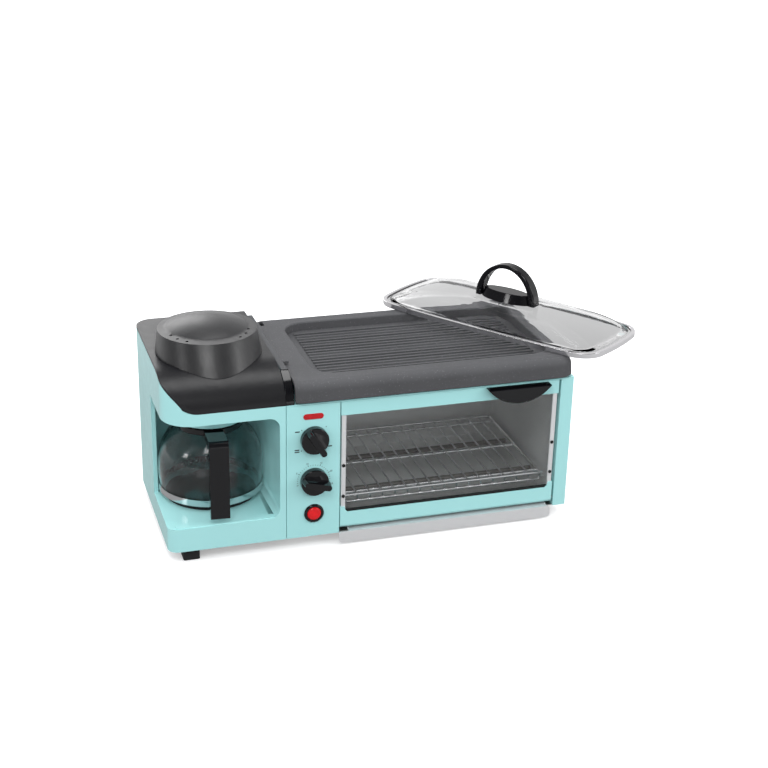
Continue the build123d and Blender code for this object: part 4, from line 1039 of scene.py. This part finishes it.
@dataclass
class GlassLid(SubAssembly):
    """Loose lid of glass with its steel rim and its handle."""

    rim_edge: float = 0.9
    base_edge: float = 1.2
    handle_edge: float = 0.6

    def __post_init__(self) -> None:
        """Lists the nodes that keep their shape."""
        self.dressed = {"lid_handle_screw": "plated_steel"}

    def build(self) -> None:
        """Builds the pane, the rim and the handle."""
        shop = self.shop
        shop.soften("lid_glass", "lid_pane", "clear_glass", 0.0)
        shop.soften("lid_rim", "rim_steel", "bright_steel", self.rim_edge, Rounding.FINE)
        shop.soften("lid_handle_base", "black_gloss", "black_gloss", self.base_edge, Rounding.FINE)
        shop.soften("lid_handle", "black_gloss", "black_gloss", self.handle_edge)


@dataclass
class Underside(SubAssembly):
    """Feet, base plate, back cover, cord inlet and the screws that hold them."""

    foot_edge: float = 0.8
    cover_edge: float = 0.3
    inlet_edge: float = 0.4

    def __post_init__(self) -> None:
        """Lists the nodes that keep their shape."""
        self.dressed = {
            "foot_screws": "plated_steel", "coffee_base_plate": "inner_plastic",
            "back_cover_screws": "plated_steel",
        }

    def build(self) -> None:
        """Builds the feet, the cover and the inlet."""
        self.shop.soften("feet", "rubber", "rubber", self.foot_edge)
        self.shop.soften("back_cover", "dark_coat", "dark_coat", self.cover_edge)
        self.shop.soften("cord_inlet", "black_satin", "black_satin", self.inlet_edge)


@dataclass(frozen=True)
class Lamp:
    """One square lamp that faces the object."""

    name: str
    place: Triple
    side: float
    watts: float
    aim: Triple = (-0.05, -0.03, 0.1)

    def hang(self) -> None:
        """Hangs the lamp in the studio."""
        data = bpy.data.lights.new(self.name, "AREA")
        data.size = self.side
        data.energy = self.watts
        lamp = bpy.data.objects.new(self.name, data)
        lamp.location = self.place
        towards = Vector(self.aim) - Vector(self.place)
        lamp.rotation_euler = towards.to_track_quat("-Z", "Y").to_euler()
        bpy.context.scene.collection.objects.link(lamp)


@dataclass(frozen=True)
class Fade:
    """Brightness of the mirrored room, which changes along one axis of the direction looked in."""

    axis: Axis
    start: float
    end: float
    low: float
    high: float

    def strength(self, tree: bpy.types.NodeTree, direction: bpy.types.Node) -> bpy.types.NodeSocket:
        """Gives the brightness for a direction.

        Args:
            tree: Nodes of the world.
            direction: Node that gives the direction's X, Y and Z.

        Returns:
            The brightness: low up to start, and high from end on.
        """
        fade = tree.nodes.new("ShaderNodeMapRange")
        fade.interpolation_type = "SMOOTHSTEP"
        fade.inputs["From Min"].default_value = self.start
        fade.inputs["From Max"].default_value = self.end
        fade.inputs["To Min"].default_value = self.low
        fade.inputs["To Max"].default_value = self.high
        tree.links.new(direction.outputs[self.axis.value], fade.inputs["Value"])
        return fade.outputs["Result"]


@dataclass
class Studio:
    """Pale floor, soft lamps and the camera at the photograph's place."""

    shop: Workshop
    eye: Triple = (-226.52, -1490.83, 851.65)
    azimuth: float = -17.790
    elevation: float = 22.625
    roll: float = 1.408
    focal_pixels: float = 1488.69
    image_pixels: float = 768.0
    sensor_width: float = 36.0
    farthest_seen: float = 50.0
    floor_half: float = 7.0
    floor_roughness: float = 0.9
    floor_tone: float = 0.82
    floor_bounce: float = 0.08
    floor_glow: float = 0.3
    far_glow: float = 1.0
    near_reach: float = 0.5
    far_reach: float = 1.7
    room_colour: Colour = (0.97, 0.985, 1.0)
    room_light: float = 1.5
    mirrored_room: tuple[Fade, ...] = (
        Fade(Axis.Z, start=0.32, end=0.75, low=1.0, high=0.16),
        Fade(Axis.Y, start=-0.75, end=-0.2, low=0.22, high=1.0),
        Fade(Axis.X, start=-0.8, end=-0.15, low=0.2, high=1.0),
    )
    lamps: tuple[Lamp, ...] = (
        Lamp("key_lamp", (-0.6, -1.3, 1.4), side=0.5, watts=6.0),
        Lamp("fill_lamp", (1.3, -1.0, 0.9), side=0.6, watts=4.5),
        Lamp("top_lamp", (0.1, 0.2, 1.9), side=0.8, watts=9.0),
        Lamp("left_lamp", (-1.5, -0.5, 0.6), side=0.22, watts=1.2),
        Lamp("back_lamp", (-0.3, 1.7, 0.95), side=0.8, watts=5.0),
    )

    def build(self) -> None:
        """Sets up the whole studio."""
        self.floor()
        self.world()
        for lamp in self.lamps:
            lamp.hang()
        self.camera()

    def floor(self) -> None:
        """Lays a pale floor that shows as white where no shadow falls."""
        form = bmesh.new()
        bmesh.ops.create_grid(form, x_segments=2, y_segments=2, size=self.floor_half)
        mesh = bpy.data.meshes.new("floor")
        form.to_mesh(mesh)
        form.free()
        floor = bpy.data.objects.new("floor", mesh)
        bpy.context.scene.collection.objects.link(floor)
        mesh.materials.append(self.floor_material())

    def floor_material(self) -> bpy.types.Material:
        """Makes the floor's material, which is darker to all rays but the camera's.

        Returns:
            The material.
        """
        graph = Graph("pale_floor")
        shader = graph.principled(Roughness=self.floor_roughness, Specular_IOR_Level=0.0)
        tone = graph.blend(looking(graph.tree, ()), (self.floor_bounce,) * 3, (self.floor_tone,) * 3)
        graph.join(tone, shader.inputs["Base Color"])
        shader.inputs["Emission Color"].default_value = (1.0, 1.0, 1.0, 1.0)
        away = graph.add("ShaderNodeVectorMath", operation="LENGTH")
        graph.join(graph.place(), away.inputs[0])
        glow = graph.spread(
            away.outputs["Value"], self.floor_glow, self.far_glow, self.near_reach, self.far_reach
        )
        seen = looking(graph.tree, ("Is Glossy Ray", "Is Transmission Ray"))
        graph.join(graph.product(seen, glow), shader.inputs["Emission Strength"])
        return graph.material

    def world(self) -> None:
        """Makes the room white to look at, dimmed in mirrors, and a soft even light on the object."""
        world = bpy.data.worlds.new("room")
        world.use_nodes = True
        tree = world.node_tree
        tree.nodes.clear()
        output = tree.nodes.new("ShaderNodeOutputWorld")
        light = tree.nodes.new("ShaderNodeBackground")
        light.inputs["Color"].default_value = (*self.room_colour, 1.0)
        light.inputs["Strength"].default_value = self.room_light
        white = tree.nodes.new("ShaderNodeBackground")
        white.inputs["Strength"].default_value = 1.0
        mirrored = tree.nodes.new("ShaderNodeBackground")
        tree.links.new(self.mirror_strength(tree), mirrored.inputs["Strength"])
        path = tree.nodes.new("ShaderNodeLightPath")
        gloss = tree.nodes.new("ShaderNodeMixShader")
        tree.links.new(path.outputs["Is Glossy Ray"], gloss.inputs[0])
        tree.links.new(light.outputs[0], gloss.inputs[1])
        tree.links.new(mirrored.outputs[0], gloss.inputs[2])
        mix = tree.nodes.new("ShaderNodeMixShader")
        tree.links.new(looking(tree, ("Is Transmission Ray",)), mix.inputs[0])
        tree.links.new(gloss.outputs[0], mix.inputs[1])
        tree.links.new(white.outputs[0], mix.inputs[2])
        tree.links.new(mix.outputs[0], output.inputs[0])
        bpy.context.scene.world = world

    def mirror_strength(self, tree: bpy.types.NodeTree) -> bpy.types.NodeSocket:
        """Gives how bright the room is in a mirror: white behind and at the right, dim elsewhere.

        Args:
            tree: Nodes of the world.

        Returns:
            The strength for the direction looked in.
        """
        coordinates = tree.nodes.new("ShaderNodeTexCoord")
        direction = tree.nodes.new("ShaderNodeSeparateXYZ")
        tree.links.new(coordinates.outputs["Generated"], direction.inputs[0])
        strength, *others = (fade.strength(tree, direction) for fade in self.mirrored_room)
        for other in others:
            product = tree.nodes.new("ShaderNodeMath")
            product.operation = "MULTIPLY"
            tree.links.new(strength, product.inputs[0])
            tree.links.new(other, product.inputs[1])
            strength = product.outputs[0]
        return strength

    def camera(self) -> None:
        """Puts the camera where the photograph was taken from."""
        az, el, roll = (math.radians(v) for v in (self.azimuth, self.elevation, self.roll))
        back = Vector((math.sin(az) * math.cos(el), -math.cos(az) * math.cos(el), math.sin(el)))
        level = Vector((math.cos(az), math.sin(az), 0.0))
        upright = back.cross(level)
        right = level * math.cos(roll) + upright * math.sin(roll)
        up = upright * math.cos(roll) - level * math.sin(roll)
        data = bpy.data.cameras.new("photo_camera")
        data.sensor_width = self.sensor_width
        data.lens = self.focal_pixels / self.image_pixels * self.sensor_width
        data.clip_end = self.farthest_seen
        camera = bpy.data.objects.new("photo_camera", data)
        turn = Matrix((right, up, back)).transposed().to_4x4()
        camera.matrix_world = Matrix.Translation(self.shop.at(*self.eye)) @ turn
        bpy.context.scene.collection.objects.link(camera)
        bpy.context.scene.camera = camera


def looking(tree: bpy.types.NodeTree, others: Iterable[str]) -> bpy.types.NodeSocket:
    """Gives 1 for the camera's rays and for other kinds of ray that are named.

    Args:
        tree: Nodes to add to.
        others: Outputs of the Light Path node that count as well.

    Returns:
        The value, 0 for all other rays.
    """
    path = tree.nodes.new("ShaderNodeLightPath")
    total = path.outputs["Is Camera Ray"]
    for name in others:
        higher = tree.nodes.new("ShaderNodeMath")
        higher.operation = "MAXIMUM"
        tree.links.new(total, higher.inputs[0])
        tree.links.new(path.outputs[name], higher.inputs[1])
        total = higher.outputs[0]
    return total


def main() -> None:
    """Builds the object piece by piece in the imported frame."""
    logging.basicConfig(level=logging.INFO, format="%(name)s: %(message)s")
    bpy.context.scene.view_settings.view_transform = "Standard"
    for start in list(bpy.data.objects):
        bpy.data.objects.remove(start)
    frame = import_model()
    shop = Workshop(frame, Palette())
    parts = (
        CoffeeMaker(shop), Carafe(shop), ControlPanel(shop), Oven(shop), OvenDoor(shop), Griddle(shop),
        GlassLid(shop), Underside(shop),
    )
    for part in parts:
        log.info("sub-assembly %s", type(part).__name__)
        part.build()
        part.dress()
    Studio(shop).build()


if __name__ == "__main__":
    main()
